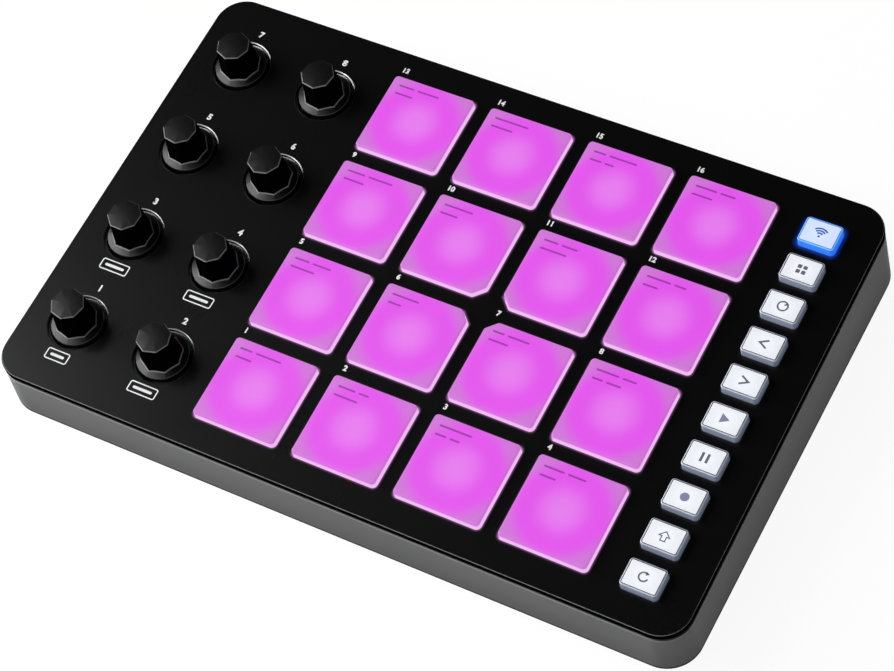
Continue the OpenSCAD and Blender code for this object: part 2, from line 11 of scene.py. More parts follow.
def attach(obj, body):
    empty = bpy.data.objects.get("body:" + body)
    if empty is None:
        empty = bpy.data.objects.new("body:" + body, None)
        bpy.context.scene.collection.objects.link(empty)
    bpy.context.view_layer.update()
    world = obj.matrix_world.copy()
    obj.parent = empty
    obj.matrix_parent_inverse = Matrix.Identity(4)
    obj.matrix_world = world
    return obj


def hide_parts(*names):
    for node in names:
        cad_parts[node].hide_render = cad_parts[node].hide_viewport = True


bl_info = {
    "name": "Pad controller",
    "version": (1, 0, 0),
    "blender": (4, 5, 0),
    "location": "3D View > Sidebar > Pad controller",
    "description": "Builds the outer pieces, prints, finishes and stage of a pad controller",
    "category": "Object",
}

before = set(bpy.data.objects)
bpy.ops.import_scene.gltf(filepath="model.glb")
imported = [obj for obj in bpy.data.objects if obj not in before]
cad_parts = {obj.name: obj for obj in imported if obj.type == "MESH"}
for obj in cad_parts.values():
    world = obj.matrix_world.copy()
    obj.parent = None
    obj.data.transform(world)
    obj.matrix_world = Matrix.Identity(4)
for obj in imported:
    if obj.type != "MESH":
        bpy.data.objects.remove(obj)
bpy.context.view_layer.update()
MM = 0.001
PAD_ROWS = 4
PADS = PAD_ROWS * PAD_ROWS
KEYS = ("wireless_key", "pad_bank_key", "knob_bank_key", "left_key", "right_key",
        "play_key", "pause_key", "record_key", "shift_key", "repeat_key")
PALE_SIGNS = ("play_key", "record_key")
KNOB_ANGLES = (8, 38, 21, 15, 14, 36, 0, 13)
KNOBS = len(KNOB_ANGLES)
# Lengths of the bars that stand for a pad's legend, in the upper and the lower line
PAD_LEGENDS = (
    ((4.2, 8.6), (5.4,)), ((5.6, 3.4), (7.8,)), ((10.4,), (3.6, 3.2)), ((6.4, 5.6), (5.0,)),
    ((5.0, 6.2), (8.2,)), ((8.8,), (4.4,)), ((3.8, 7.0), (6.4,)), ((7.2, 4.4), (3.4, 4.6)),
    ((6.0, 8.2), (7.0,)), ((9.6,), (5.8,)), ((4.6, 5.2), (8.6,)), ((7.6, 3.8), (4.8,)),
    ((5.2, 7.4), (6.0,)), ((11.2,), (7.2,)), ((4.0, 9.0), (3.8, 3.0)), ((6.8, 4.8), (6.6,)),
)
# Boxes printed in front of the four front knobs: knob, width, shift of the middle
KNOB_BOXES = ((0, 7.8, 0.2), (1, 9.6, 0.1), (2, 9.6, 0.4), (3, 9.6, 0.1))
# Fits: room round posts, half an encoder, posts into the panel, room round threads and screws
POST_ROOM = 0.4 * MM
ENCODER_HALF = 6.0 * MM
WELD = 0.4 * MM
THREAD_ROOM = 0.02 * MM
SCREW_ROOM = 0.15 * MM
# Fine profiles in millimetres
PAD_CROWN = ((1.4, 0.03), (2.4, 0.06))
KEY_GAP = ((0.02, 0.12), (0.24, 0.12))
KEY_FACE = ((0.26, 0.02), (0.34, 0.0))
KNOB_CREASE = ((-0.08, -0.28), (0.06, -0.24), (0.26, -0.04), (0.34, 0.0), (0.8, 0.0))
FOOT_GROOVE = ((1.6, 0.0), (1.9, 0.25), (2.3, 0.25), (2.6, 0.0))
FOOT_DIMPLE = ((1.4, 0.0), (1.0, 0.2))
REAR_HOLE = ((-5.0, 0.0), (0.08, 0.0), (0.98, 0.9))
# Parts of a knob's radius at which its domed top has a ring
KNOB_DOME = (0.85, 0.68, 0.5, 0.3, 0.12)
# Heights of bevels for each unit of their width: panel's painted-highlight strip and slope,
# recesses
EDGE_RISE = 1.7
SLOPE_RISE = 0.1
RECESS_RISE = 0.6
# How far inside a window's edge the pads' spilt light starts
SPILL_START = 0.3 * MM
# Painted shade on the walls: height at which they are palest, their level at the foot and its gain
# up to there
WALL_SHADE_END = 17.0 * MM
WALL_SHADE_FOOT = 0.76
WALL_SHADE_GAIN = 0.4
# Reach of a diode's light in the face and in the sides of a key, and in a pad's legend
FACE_GLOW = 4.5 * MM
SIDE_GLOW = 6.5 * MM
LEGEND_GLOW = 12.0 * MM
# Height of lit plastic above the panel
LIT_TOP = 3.0 * MM
# Floor: glow in mirrors, white to the camera and the share of that white
FLOOR_GLOW = 0.8
FLOOR_WHITE = 1.16
FLOOR_SHARE = 0.8
# Studio: overhead and horizon, and the heights between which one turns into the other
SKY_DARK = (0.012, 0.012, 0.013, 1.0)
SKY_PALE = (0.55, 0.555, 0.57, 1.0)
SKY_RANGE = (0.02, 0.45)
LAMP_AIM = (0, 0, 0.02)
# Soft boxes: name, place, size, power
LAMPS = (("left_box", (-0.8464, -0.1776, 0.5221), (0.626, 0.948), 12.45),
         ("front_fill", (-0.81, -0.85, 1.37), (1.2, 1.2), 11.0),
         ("right_fill", (1.5, -0.5, 0.7), (0.8, 0.8), 1.6))
CAMERA_PLACE = (0.29160804, -0.34004098, 0.67509398)
CAMERA_TURN = (32.58843953, 8.30740882, 27.96147732)
CAMERA_LENS = 109.13998
# Finishes of inner nodes: node, finish, colour, roughness, other settings
INNER = (
    ("main_board", "board_mask", (0.012, 0.085, 0.035), 0.35,
     {"grain": 900.0, "drift": 0.15, "amount": 0.6, "specks": 0.5}),
    ("board_chips", "chip_moulding", (0.01, 0.01, 0.011), 0.55, {"grain": 3500.0}),
    ("pad_sensor_film", "film_sheet", (0.45, 0.22, 0.035), 0.3,
     {"grain": 700.0, "depth": 0.000004, "drift": 0.15, "amount": 0.3}),
    ("pad_light_frame", "frame_moulding", (0.74, 0.74, 0.72), 0.6, {}),
    ("leds", "led_lens", (0.82, 0.80, 0.72), 0.35, {}),
    ("key_contacts", "contact_plate", (0.85, 0.60, 0.22), 0.3, {"metal": 1.0}),
    ("encoder_housings", "encoder_shell", (0.42, 0.43, 0.44), 0.38, {"metal": 1.0}),
    ("battery_cell", "cell_wrap", (0.55, 0.56, 0.58), 0.4,
     {"grain": 300.0, "depth": 0.00004, "drift": 0.2, "metal": 0.8}),
    ("battery_lead", "wire_coat", (0.42, 0.02, 0.018), 0.45, {}),
)


def length(name, description, millimetres):
    """Property for one size, given here in millimetres and kept in metres."""
    return FloatProperty(name=name, description=description, default=millimetres * MM,
                         unit="LENGTH", precision=5)


def colour(name, description, rgb):
    """Property for one colour, linear."""
    return FloatVectorProperty(name=name, description=description, default=rgb, size=3,
                               min=0.0, max=1.0, subtype="COLOR")


class ControllerSizes(bpy.types.PropertyGroup):
    """Sizes of the outer pieces"""

    case_width: length("Case width", "Case at its foot, left to right", 227.5)
    case_depth: length("Case depth", "Case at its foot, front to back", 149.0)
    case_corner: length("Case corner", "Corner radius of the case at its foot", 10.5)
    case_wall: length("Case wall", "Thickness of the side walls", 2.2)
    wall_edge: length("Wall edge", "Rounding of the walls' upper edge", 0.22)
    wall_foot_edge: length("Wall foot edge", "Rounding of the walls' lower edge", 0.3)
    # Painted shade: height of the dark strip that stands for the shadow in the gap under the walls
    wall_foot_shade: length("Wall foot line", "Dark line above the walls' lower edge", 0.65)
    wall_rebate: length("Wall rebate", "Walls' outer edge below the panel's underside", 0.7)
    wall_drop: length("Wall drop", "Walls' foot below the base cover's face", 0.4)
    front_height: length("Front height", "Panel's front edge above the foot of the case", 19.0)
    foot_height: length("Foot height", "Rubber feet below the case", 1.5)
    foot_width: length("Foot width", "Diameter of a rubber foot", 12.0)
    foot_inset: length("Foot inset", "Middle of a foot from the sides of the case", 19.0)
    foot_sunk: length("Foot seat", "Depth of a foot's seat in the cover", 0.6)
    cover_thickness: length("Cover thickness", "Thickness of the base cover", 2.5)
    panel_tilt: FloatProperty(name="Panel tilt", description="Rise of the panel to the back",
                              default=math.radians(2.3), subtype="ANGLE")
    panel_setback: length("Panel setback", "Middle of the panel behind that of the foot", 0.9)
    panel_width: length("Panel width", "Black panel, left to right", 225.3)
    panel_depth: length("Panel depth", "Black panel, front to back", 146.7)
    panel_corner: length("Panel corner", "Corner radius of the panel", 9.2)
    panel_thickness: length("Panel thickness", "Thickness of the panel", 2.5)
    # Painted highlight: width of the pale strip along the panel's top edge
    panel_slope: length("Panel slope", "Dark slope round the panel's top", 0.25)
    panel_edge_highlight: length("Panel edge", "Bare edge between the slope and the top", 0.13)
    groove_height: length("Groove height", "Shadow groove under the panel's edge", 0.5)
    groove_depth: length("Groove depth", "How far the shadow groove goes in", 0.8)
    window_gap: length("Window gap", "Gap round pads and keys", 0.3)
    window_edge: length("Window edge", "Rounding of the windows' edges", 0.2)
    recess_edge: length("Recess edge", "Bevel of the edge of a knob's recess", 0.3)
    recess_foot: length("Recess foot", "Slope at the foot of a recess's wall", 0.4)
    pad_field_x: length("Pad field", "Middle of the pads, right of the panel's middle", 16.8)
    pad_pitch: length("Pad pitch", "From pad to pad", 33.25)
    pad_side: length("Pad side", "Side of a pad", 27.4)
    pad_corner: length("Pad corner", "Corner radius of a pad", 1.2)
    pad_height: length("Pad height", "Pad above the panel", 2.1)
    pad_edge: length("Pad edge", "Rounding of a pad's upper edge", 0.55)
    pad_cut: length("Pad cut", "Cut at the inner corner of the four middle pads", 3.2)
    pad_glow: length("Pad glow", "Reach of the light over a pad's diode", 10.2)
    pad_border: length("Pad border", "Where a pad's corners are dimmest", 16.8)
    pad_spill_reach: length("Pad spill", "Reach of a pad's light on the panel", 1.4)
    pad_foot: length("Pad foot", "Pressing rim under a pad, from the pad's side", 2.7)
    pad_rim: length("Pad rim", "Thickness of the pressing rim", 2.0)
    pad_rim_depth: length("Pad rim depth", "Foot of the pressing rim below the panel's face", 5.6)
    flange_width: length("Pad flange", "Flange that keeps a pad in", 1.4)
    flange_thickness: length("Flange thickness", "Thickness of the flanges", 1.2)
    key_x: length("Key column", "Keys right of the panel's middle", 96.05)
    key_first_y: length("First key", "Rearmost key behind the panel's middle", 58.3)
    key_pitch: length("Key pitch", "From key to key", 13.08)
    key_width: length("Key width", "Key, left to right", 11.2)
    key_depth: length("Key depth", "Key, front to back", 8.6)
    key_corner: length("Key corner", "Corner radius of a key", 1.0)
    key_height: length("Key height", "Key above the panel", 2.5)
    key_rim: length("Key rim", "Sloping rim round a key's lit face", 0.3)
    key_spill_reach: length("Key spill", "Reach of the blue key's light on the panel", 2.4)
    key_flange: length("Key flange", "Flange that keeps a key in", 1.0)
    knob_x: length("Knob column", "Left column of knobs from the panel's middle", -95.6)
    knob_gap: length("Knob gap", "From the left to the right column of knobs", 30.3)
    knob_height: length("Knob height", "Knob above the panel", 11.5)
    knob_foot: length("Knob foot", "Across the corners of the grip at its foot", 13.0)
    knob_top: length("Knob top", "Across the corners of the grip at its top", 10.7)
    knob_bevel: length("Knob bevel", "Height of the bevel round a knob's top", 0.36)
    knob_crown: length("Knob crown", "Rise of a knob's top to its middle", 0.31)
    knob_corner: length("Knob corner", "Rounding of the upright edges of a knob", 0.4)
    skirt_width: length("Skirt width", "Diameter of a knob's skirt", 16.1)
    skirt_height: length("Skirt height", "Upright rim of the skirt above the panel", 0.5)
    skirt_sunk: length("Skirt depth", "Skirt below the panel's face", 1.6)
    cone_height: length("Cone height", "Where the skirt's cone would end", 1.4)
    cone_top: length("Cone top", "Diameter of the skirt's cone at its end", 11.0)
    hollow_width: length("Knob hollow", "Hollow in the knob round the bush", 9.3)
    hollow_top: length("Hollow top", "Top of the knob's hollow above the panel", 2.2)
    bore_width: length("Knob bore", "Bore for the shaft", 6.04)
    bore_top: length("Bore top", "End of the bore above the panel", 9.0)
    recess_width: length("Recess width", "Diameter of the recess round a knob", 18.5)
    recess_depth: length("Recess depth", "Depth of the recess to its ledge", 1.5)
    recess_ledge: length("Recess ledge", "Width of the recess's ledge", 0.6)
    post_width: length("Post width", "Diameter of the screw posts", 6.0)
    post_length: length("Post length", "Screw posts below the panel", 7.0)
    boss_width: length("Boss width", "Diameter of the board's bosses", 5.2)
    board_drop: length("Board drop", "Board below the panel's underside", 4.5)
    board_thickness: length("Board thickness", "Thickness of the main board", 1.6)
    screw_width: length("Screw width", "Diameter of the screws", 2.5)
    screw_head: length("Screw head", "Diameter of a screw's head", 4.5)
    screw_head_height: length("Screw head height", "Height of a screw's head", 1.4)
    socket_x: length("Socket place", "Lead socket right of the middle", 40.0)
    socket_width: length("Socket width", "Width of the lead socket", 8.9)
    socket_height: length("Socket height", "Height of the lead socket", 3.3)
    switch_x: length("Switch place", "Middle of the slider's way", 71.0)
    switch_height: length("Switch height", "Height of the power switch", 4.0)
    slider_width: length("Slider width", "Width of the power slider", 3.0)
    slider_height: length("Slider height", "Height of the power slider", 2.0)
    slider_way: length("Slider way", "Travel of the power slider", 2.0)
    print_height: length("Number height", "Height of the knob numbers", 2.3)
    print_line: length("Print line", "Width of the printed lines", 0.38)
    print_lift: length("Print lift", "Prints above their surface", 0.02)


class ControllerColours(bpy.types.PropertyGroup):
    """Colours of the outer pieces"""

    panel: colour("Panel", "Satin black panel", (0.0014, 0.0014, 0.0015))
    # Painted highlight: pale colour on the strip along the panel's top edge
    panel_edge_highlight: colour("Panel edge", "Bare edge of the panel", (0.27, 0.27, 0.272))
    recess_edge: colour("Recess edge", "Edges of the knobs' recesses", (0.015, 0.015, 0.0155))
    case: colour("Case", "Dark grey side walls", (0.135, 0.135, 0.137))
    # Painted highlight: pale colour on the walls' upper rounded edge
    case_edge_highlight: colour("Case edge", "Upper edge of the side walls", (0.31, 0.31, 0.313))
    # Painted shade: dark colour on the walls' lower rounding and the strip above it
    case_foot_shade: colour("Case foot", "Lower edge of the side walls", (0.02, 0.02, 0.0205))
    cover: colour("Cover", "Base cover", (0.022, 0.022, 0.023))
    rubber: colour("Rubber", "Rubber feet", (0.03, 0.03, 0.031))
    knob: colour("Knob", "Black knobs", (0.0014, 0.0014, 0.0015))
    # Painted highlight: pale colour on the bevel round a knob's top and on the crease at the grip's
    # foot
    knob_edge: colour("Knob edge", "Bevel round a knob's top", (0.26, 0.26, 0.263))
    # Painted highlight: pale colour on the skirt's rounded outer edge
    skirt_edge_highlight: colour("Skirt edge", "Rounded edge of a knob's skirt", (0.11, 0.11, 0.112))
    white_print: colour("White print", "Numbers and boxes on the panel", (0.88, 0.88, 0.89))
    pad_body: colour("Pad", "Silicone of the pads", (0.10, 0.03, 0.11))
    pad_light: colour("Pad light", "Light of a pad half-way out", (0.68, 0.058, 0.745))
    pad_glow: colour("Pad glow", "Light over the diode", (0.71, 0.17, 0.765))
    pad_border: colour("Pad border", "Light in a pad's corners", (0.535, 0.155, 0.58))
    pad_flank: colour("Pad flank", "Light out of a pad's sides", (0.84, 0.49, 0.845))
    pad_spill: colour("Pad spill", "Light of a pad on the panel beside it", (0.27, 0.11, 0.28))
    pad_legend: colour("Pad legend", "Bars printed on the pads", (0.30, 0.03, 0.34))
    key_face: colour("Key face", "Lit face of a key", (0.70, 0.72, 0.76))
    key_flank: colour("Key flank", "Sides of a key", (0.36, 0.40, 0.50))
    key_flank_light: colour("Key flank light", "Light out of a key's sides", (0.30, 0.36, 0.52))
    key_line: colour("Key line", "Line round a key's face", (0.012, 0.013, 0.016))
    key_edge: colour("Key edge", "Sloping rim of a key", (0.55, 0.58, 0.65))
    key_edge_light: colour("Key edge light", "Light out of a key's rim", (0.40, 0.44, 0.54))
    key_spill: colour("Key spill", "Light of the blue key on the panel", (0.005, 0.03, 0.28))
    key_sign: colour("Key sign", "Signs on the keys", (0.19, 0.195, 0.225))
    key_sign_pale: colour("Pale key sign", "Signs of play and record", (0.31, 0.32, 0.50))
    blue_face: colour("Blue face", "Lit face of the blue key", (0.60, 0.70, 0.95))
    blue_flank: colour("Blue flank", "Sides of the blue key", (0.02, 0.17, 0.85))
    blue_body: colour("Blue body", "Sides of the blue key, unlit", (0.05, 0.2, 0.6))
    blue_line: colour("Blue line", "Line round the blue key's face", (0.03, 0.1, 0.3))
    blue_line_light: colour("Blue line light", "Light out of that line", (0.06, 0.24, 0.8))
    blue_edge: colour("Blue edge", "Sloping rim of the blue key", (0.1, 0.3, 0.7))
    blue_edge_light: colour("Blue edge light", "Light out of that rim", (0.16, 0.42, 0.95))
    blue_sign: colour("Blue sign", "Sign on the blue key", (0.03, 0.13, 0.50))
    steel: colour("Steel", "Screws", (0.52, 0.52, 0.53))
    socket: colour("Socket", "Shell of the lead socket", (0.55, 0.55, 0.56))
    slider: colour("Slider", "Power slider", (0.012, 0.012, 0.0125))
    switch: colour("Switch", "Body of the power switch", (0.02, 0.02, 0.021))
    shaft: colour("Shaft", "Shafts of the encoders", (0.50, 0.50, 0.51))
    floor: colour("Floor", "Pale floor", (0.5, 0.5, 0.5))


def settings(context):
    """Sizes and colours of the scene."""
    return context.scene.controller_sizes, context.scene.controller_colours


# Meshes

def sides_of(width, depth):
    """Four sides of a rectangle, each as the angle of its normal and its distance."""
    return [(0, width / 2), (90, depth / 2), (180, width / 2), (270, depth / 2)]


def corner_loop(sides, inset, radius, arc=5, flat=1, at=(0.0, 0.0)):
    """Points round a convex outline moved in by inset, with rounded corners."""
    radius = max(radius - inset, 1e-5)
    lines = [(math.radians(angle), reach - inset - radius) for angle, reach in sides]
    corners = []
    for (a, reach_a), (b, reach_b) in zip(lines, lines[1:] + lines[:1]):
        if b < a:
            b += math.tau
        turn = math.sin(b - a)
        x = (reach_a * math.sin(b) - reach_b * math.sin(a)) / turn + at[0]
        y = (reach_b * math.cos(a) - reach_a * math.cos(b)) / turn + at[1]
        steps = [a + (b - a) * k / arc for k in range(arc + 1)]
        corners.append([(x + radius * math.cos(s), y + radius * math.sin(s)) for s in steps])
    points = []
    for corner, following in zip(corners, corners[1:] + corners[:1]):
        points += corner
        start, end = Vector(corner[-1]), Vector(following[0])
        points += [tuple(start.lerp(end, k / flat)) for k in range(1, flat)]
    return points


def round_loop(radius, at=(0.0, 0.0), steps=64):
    """Points round a circle."""
    turns = [math.tau * k / steps for k in range(steps)]
    return [(at[0] + radius * math.cos(t), at[1] + radius * math.sin(t)) for t in turns]


def fillet(radius, steps=4):
    """Insets and drops along a quarter round, from the upright side to the flat top."""
    turns = [math.pi / 2 * k / steps for k in range(steps + 1)]
    return [(radius * (1 - math.cos(t)), radius * (1 - math.sin(t))) for t in turns]


def chamfer(width, height):
    """Insets and drops along a flat bevel, from the side to the flat top."""
    return [(0.0, height), (width, 0.0)]


class Shape:
    """A mesh while it is being made"""

    def __init__(self):
        self.mesh = bmesh.new()

    def ring(self, loop, z):
        """Adds a loop of points at one height."""
        return [self.mesh.verts.new((x, y, z)) for x, y in loop]

    def points(self, places):
        """Adds a loop of points in space."""
        return [self.mesh.verts.new(p) for p in places]

    def wall(self, one, other, finish=0):
        """Joins two rings of equal length."""
        for i in range(len(one)):
            j = (i + 1) % len(one)
            face = self.mesh.faces.new((one[i], one[j], other[j], other[i]))
            face.material_index = finish
            face.smooth = True

    def stack(self, rings, finish=0):
        """Joins rings in their order."""
        for one, other in zip(rings, rings[1:]):
            self.wall(one, other, finish)

    def bands(self, rings, *bands):
        """Joins rings in their order, in bands given by their last ring and their finish."""
        start = 0
        for end, finish in bands:
            self.stack(rings[start:end + 1], finish)
            start = end

    def lid(self, ring, finish=0):
        """Closes a ring with one face."""
        face = self.mesh.faces.new(ring)
        face.material_index = finish
        face.smooth = True

    def solid(self, rings):
        """Joins rings in their order and closes both ends."""
        self.stack(rings)
        self.lid(rings[0])
        self.lid(rings[-1])

    def sheet(self, rings):
        """Fills the flat surface between an outer ring and the rings inside it."""
        edges = [self.mesh.edges.get((a, b)) or self.mesh.edges.new((a, b))
                 for ring in rings for a, b in zip(ring, ring[1:] + ring[:1])]
        made = bmesh.ops.triangle_fill(self.mesh, use_beauty=True, edges=edges, normal=(0, 0, 1))
        for face in made["geom"]:
            if isinstance(face, bmesh.types.BMFace):
                face.smooth = True

    def tube(self, at, low, high, outer, inner):
        """Adds an upright tube."""
        loops = [self.ring(round_loop(r, at, 32), z)
                 for r, z in ((outer, low), (outer, high), (inner, high), (inner, low))]
        self.stack(loops + loops[:1])

    def ribbon(self, path, width, z, closed=False):
        """Adds a flat line of one width along a path."""
        path = [Vector(p) for p in path]
        left, right = [], []
        for i, place in enumerate(path):
            before = path[i - 1] if closed or i else place
            after = path[(i + 1) % len(path)] if closed or i + 1 < len(path) else place
            one = (place - before).normalized() if place != before else (after - place).normalized()
            two = (after - place).normalized() if place != after else one
            normal = Vector((-one.y - two.y, one.x + two.x)).normalized()
            reach = width / 2 / max(0.4, normal.dot(Vector((-one.y, one.x))))
            left.append(self.mesh.verts.new((*(place + normal * reach), z)))
            right.append(self.mesh.verts.new((*(place - normal * reach), z)))
        for i in range(len(path) if closed else len(path) - 1):
            j = (i + 1) % len(path)
            self.mesh.faces.new((right[i], right[j], left[j], left[i]))

    def patch(self, loop, z):
        """Adds a flat printed patch, seen from above."""
        face = self.mesh.faces.new(self.ring(loop, z))
        face.normal_update()
        if face.normal.z < 0:
            face.normal_flip()

    def bar(self, start, end, y, height, z):
        """Adds a printed bar with round ends."""
        sides = sides_of(end - start, height)
        self.patch(corner_loop(sides, 0, height / 2, 4, at=((start + end) / 2, y)), z)

    def lettering(self, context, words, height, at, z, weight=0.0, to_left=False):
        """Adds printed figures of one height, round a place or starting at it."""
        curve = bpy.data.curves.new("figures", "FONT")
        curve.body = words
        curve.offset = weight
        curve.resolution_u = 4
        writing = bpy.data.objects.new("figures", curve)
        context.scene.collection.objects.link(writing)
        context.view_layer.update()
        depsgraph = context.evaluated_depsgraph_get()
        data = bpy.data.meshes.new_from_object(writing.evaluated_get(depsgraph))
        xs = [v.co.x for v in data.vertices]
        ys = [v.co.y for v in data.vertices]
        scale = height / (max(ys) - min(ys))
        middle = min(xs) if to_left else (min(xs) + max(xs)) / 2
        data.transform(Matrix.Translation((at[0], at[1], z)) @ Matrix.Scale(scale, 4)
                       @ Matrix.Translation((-middle, -(min(ys) + max(ys)) / 2, 0)))
        self.mesh.from_mesh(data)
        bpy.data.objects.remove(writing)
        bpy.data.curves.remove(curve)
        bpy.data.meshes.remove(data)

    def data(self, name):
        """Ends the making and gives the mesh."""
        data = bpy.data.meshes.new(name)
        self.mesh.to_mesh(data)
        self.mesh.free()
        return data


def place(context, name, shape, finishes, body, slot, matrix=None, stands_for=(), closed=True,
          sharp=35):
    """Makes a piece of a finished shape, and lets it ride on a body."""
    if closed:
        bmesh.ops.recalc_face_normals(shape.mesh, faces=shape.mesh.faces[:])
    for edge in shape.mesh.edges:
        if len(edge.link_faces) == 2 and edge.calc_face_angle() > math.radians(sharp):
            edge.smooth = False
    data = shape.data(name)
    for finish in finishes:
        data.materials.append(finish)
    piece = bpy.data.objects.new(name, data)
    context.scene.collection.objects.link(piece)
    if matrix is not None:
        piece.matrix_world = matrix
    if closed:
        piece.modifiers.new("flat_faces", "WEIGHTED_NORMAL").keep_sharp = True
    context.view_layer.update()
    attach(piece, body)
    if stands_for:
        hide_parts(*stands_for)
    return piece


# Places

def panel_frame(s):
    """Frame of the panel: its middle on the upper face, tilted up to the back."""
    rise = s.panel_depth / 2 * math.sin(s.panel_tilt)
    middle = Vector((0, -s.panel_setback, s.foot_height + s.front_height + rise))
    return Matrix.Translation(middle) @ Matrix.Rotation(s.panel_tilt, 4, "X")


def pad_place(s, i):
    """Middle of a pad on the panel, pad 0 at the front left."""
    column, row = i % PAD_ROWS, i // PAD_ROWS
    return (s.pad_field_x + (column - 1.5) * s.pad_pitch, (row - 1.5) * s.pad_pitch)


def pad_sides(s, i):
    """Sides of a pad: five where its inner corner is cut."""
    sides = sides_of(s.pad_side, s.pad_side)
    column, row = i % PAD_ROWS, i // PAD_ROWS
    if column in (1, 2) and row in (1, 2):
        angle = {(1, 1): 45, (2, 1): 135, (2, 2): 225, (1, 2): 315}[column, row]
        sides.append((angle, (s.pad_side - s.pad_cut) / math.sqrt(2)))
    return sorted(sides)


def key_place(s, i):
    """Middle of a key on the panel, from the rear."""
    return (s.key_x, s.key_first_y - i * s.key_pitch)


def knob_place(s, i):
    """Middle of a knob on the panel, knob 0 at the front left."""
    return (s.knob_x + i % 2 * s.knob_gap, (i // 2 - 1.5) * s.pad_pitch)


def screw_places(s):
    """Places of the case screws, as seen from above."""
    edge = s.case_wall + POST_ROOM + s.post_width / 2
    corner = s.panel_corner - (s.panel_corner - edge) * math.sin(math.pi / 4)
    half_field = 2 * s.pad_pitch
    left = (s.knob_x + s.knob_gap + ENCODER_HALF + s.pad_field_x - half_field) / 2
    right = (s.pad_field_x + half_field + s.key_x - s.key_width / 2 - s.window_gap
             - s.key_flange) / 2
    places = []
    for side in (-1, 1):
        places += [(x, side * (s.panel_depth / 2 - y) - s.panel_setback) for x, y in (
            (-s.panel_width / 2 + corner, corner), (s.panel_width / 2 - corner, corner),
            (left, edge), (right, edge))]
    return places


def panel_plane(s, y, depth):
    """Height of a plane at a depth under the panel's face, at a place y."""
    middle = panel_frame(s).translation.z
    return middle + (y + s.panel_setback) * math.tan(s.panel_tilt) - depth / math.cos(s.panel_tilt)


# Finishes

class Net:
    """Short ways to add nodes to a tree"""

    def __init__(self, tree):
        self.tree = tree

    def add(self, kind, **settings):
        node = self.tree.nodes.new("ShaderNode" + kind)
        for name, value in settings.items():
            setattr(node, name, value)
        return node

    def feed(self, socket, value):
        if isinstance(value, bpy.types.NodeSocket):
            self.tree.links.new(value, socket)
        elif value is not None:
            socket.default_value = value

    def math(self, operation, one, other=None):
        node = self.add("Math", operation=operation)
        self.feed(node.inputs[0], one)
        self.feed(node.inputs[1], other)
        return node.outputs[0]

    def plus(self, one, other):
        return self.math("ADD", one, other)

    def minus(self, one, other):
        return self.math("SUBTRACT", one, other)

    def times(self, one, other):
        return self.math("MULTIPLY", one, other)

    def larger(self, one, other):
        return self.math("MAXIMUM", one, other)

    def step(self, value, low, high, start=0.0, end=1.0):
        node = self.add("MapRange", interpolation_type="SMOOTHSTEP")
        for socket, number in zip(node.inputs, (value, low, high, start, end)):
            self.feed(socket, number)
        return node.outputs[0]

    def mix(self, share, one, other):
        node = self.add("Mix", data_type="RGBA")
        self.feed(node.inputs[0], share)
        self.feed(node.inputs[6], one)
        self.feed(node.inputs[7], other)
        return node.outputs[2]

    def noise(self, scale, detail=3.0, coarse=0.5, place=None):
        node = self.add("TexNoise")
        self.feed(node.inputs["Vector"], place)
        self.feed(node.inputs["Scale"], scale)
        node.inputs["Detail"].default_value = detail
        node.inputs["Roughness"].default_value = coarse
        return node.outputs[0]

    def scale(self, colour, level):
        node = self.add("VectorMath", operation="SCALE")
        self.feed(node.inputs[0], colour)
        self.feed(node.inputs["Scale"], level)
        return node.outputs[0]

    def axes(self, kind="Object"):
        node = self.add("SeparateXYZ")
        self.feed(node.inputs[0], self.add("TexCoord").outputs[kind])
        return node.outputs

    def group(self, tree, **values):
        node = self.add("Group", node_tree=tree)
        for name, value in values.items():
            self.feed(node.inputs[name.replace("_", " ").capitalize()], value)
        return node.outputs


NUMBER = "NodeSocketFloat"
TINT = "NodeSocketColor"


def effect(inputs, outputs):
    """Turns a function that fills a node group into one that gives the group, made once."""
    def turn(fill):
        def give():
            name = fill.__name__
            if name not in bpy.data.node_groups:
                tree = bpy.data.node_groups.new(name, "ShaderNodeTree")
                for socket, kind, default in inputs:
                    made = tree.interface.new_socket(socket, in_out="INPUT", socket_type=kind)
                    made.default_value = default
                for socket, kind in outputs:
                    tree.interface.new_socket(socket, in_out="OUTPUT", socket_type=kind)
                fill(Net(tree), tree.nodes.new("NodeGroupInput").outputs,
                     tree.nodes.new("NodeGroupOutput").inputs)
            return bpy.data.node_groups[name]
        return give
    return turn


@effect([("Scale", NUMBER, 2500.0)], [("Height", NUMBER)])
def moulded_grain(net, given, out):
    """Fine eroded grain of a moulded surface, as a height."""
    place_on = net.add("TexCoord").outputs["Object"]
    cells = net.add("TexVoronoi", feature="SMOOTH_F1")
    net.feed(cells.inputs["Vector"], place_on)
    net.feed(cells.inputs["Scale"], given["Scale"])
    fine = net.noise(net.times(given["Scale"], 2.3), 2.0, 0.6, place_on)
    net.feed(out["Height"], net.plus(cells.outputs["Distance"], fine))


@effect([("Roughness", NUMBER, 0.5), ("Drift", NUMBER, 0.1)], [("Roughness", NUMBER)])
def handling_marks(net, given, out):
    """Roughness that drifts over a surface, with fine rubbed streaks."""
    place_on = net.add("TexCoord").outputs["Object"]
    cloudy = net.noise(38.0, 3.0, 0.55, place_on)
    stretch = net.add("Mapping")
    stretch.inputs["Scale"].default_value = (2600.0, 140.0, 900.0)
    stretch.inputs["Rotation"].default_value = (0.0, 0.0, 0.5)
    net.feed(stretch.inputs["Vector"], place_on)
    rubbed = net.noise(1.0, 2.0, 0.5, stretch.outputs[0])
    drift = net.minus(net.plus(cloudy, net.times(rubbed, 0.5)), 0.75)
    net.feed(out["Roughness"], net.plus(given["Roughness"], net.times(drift, given["Drift"])))


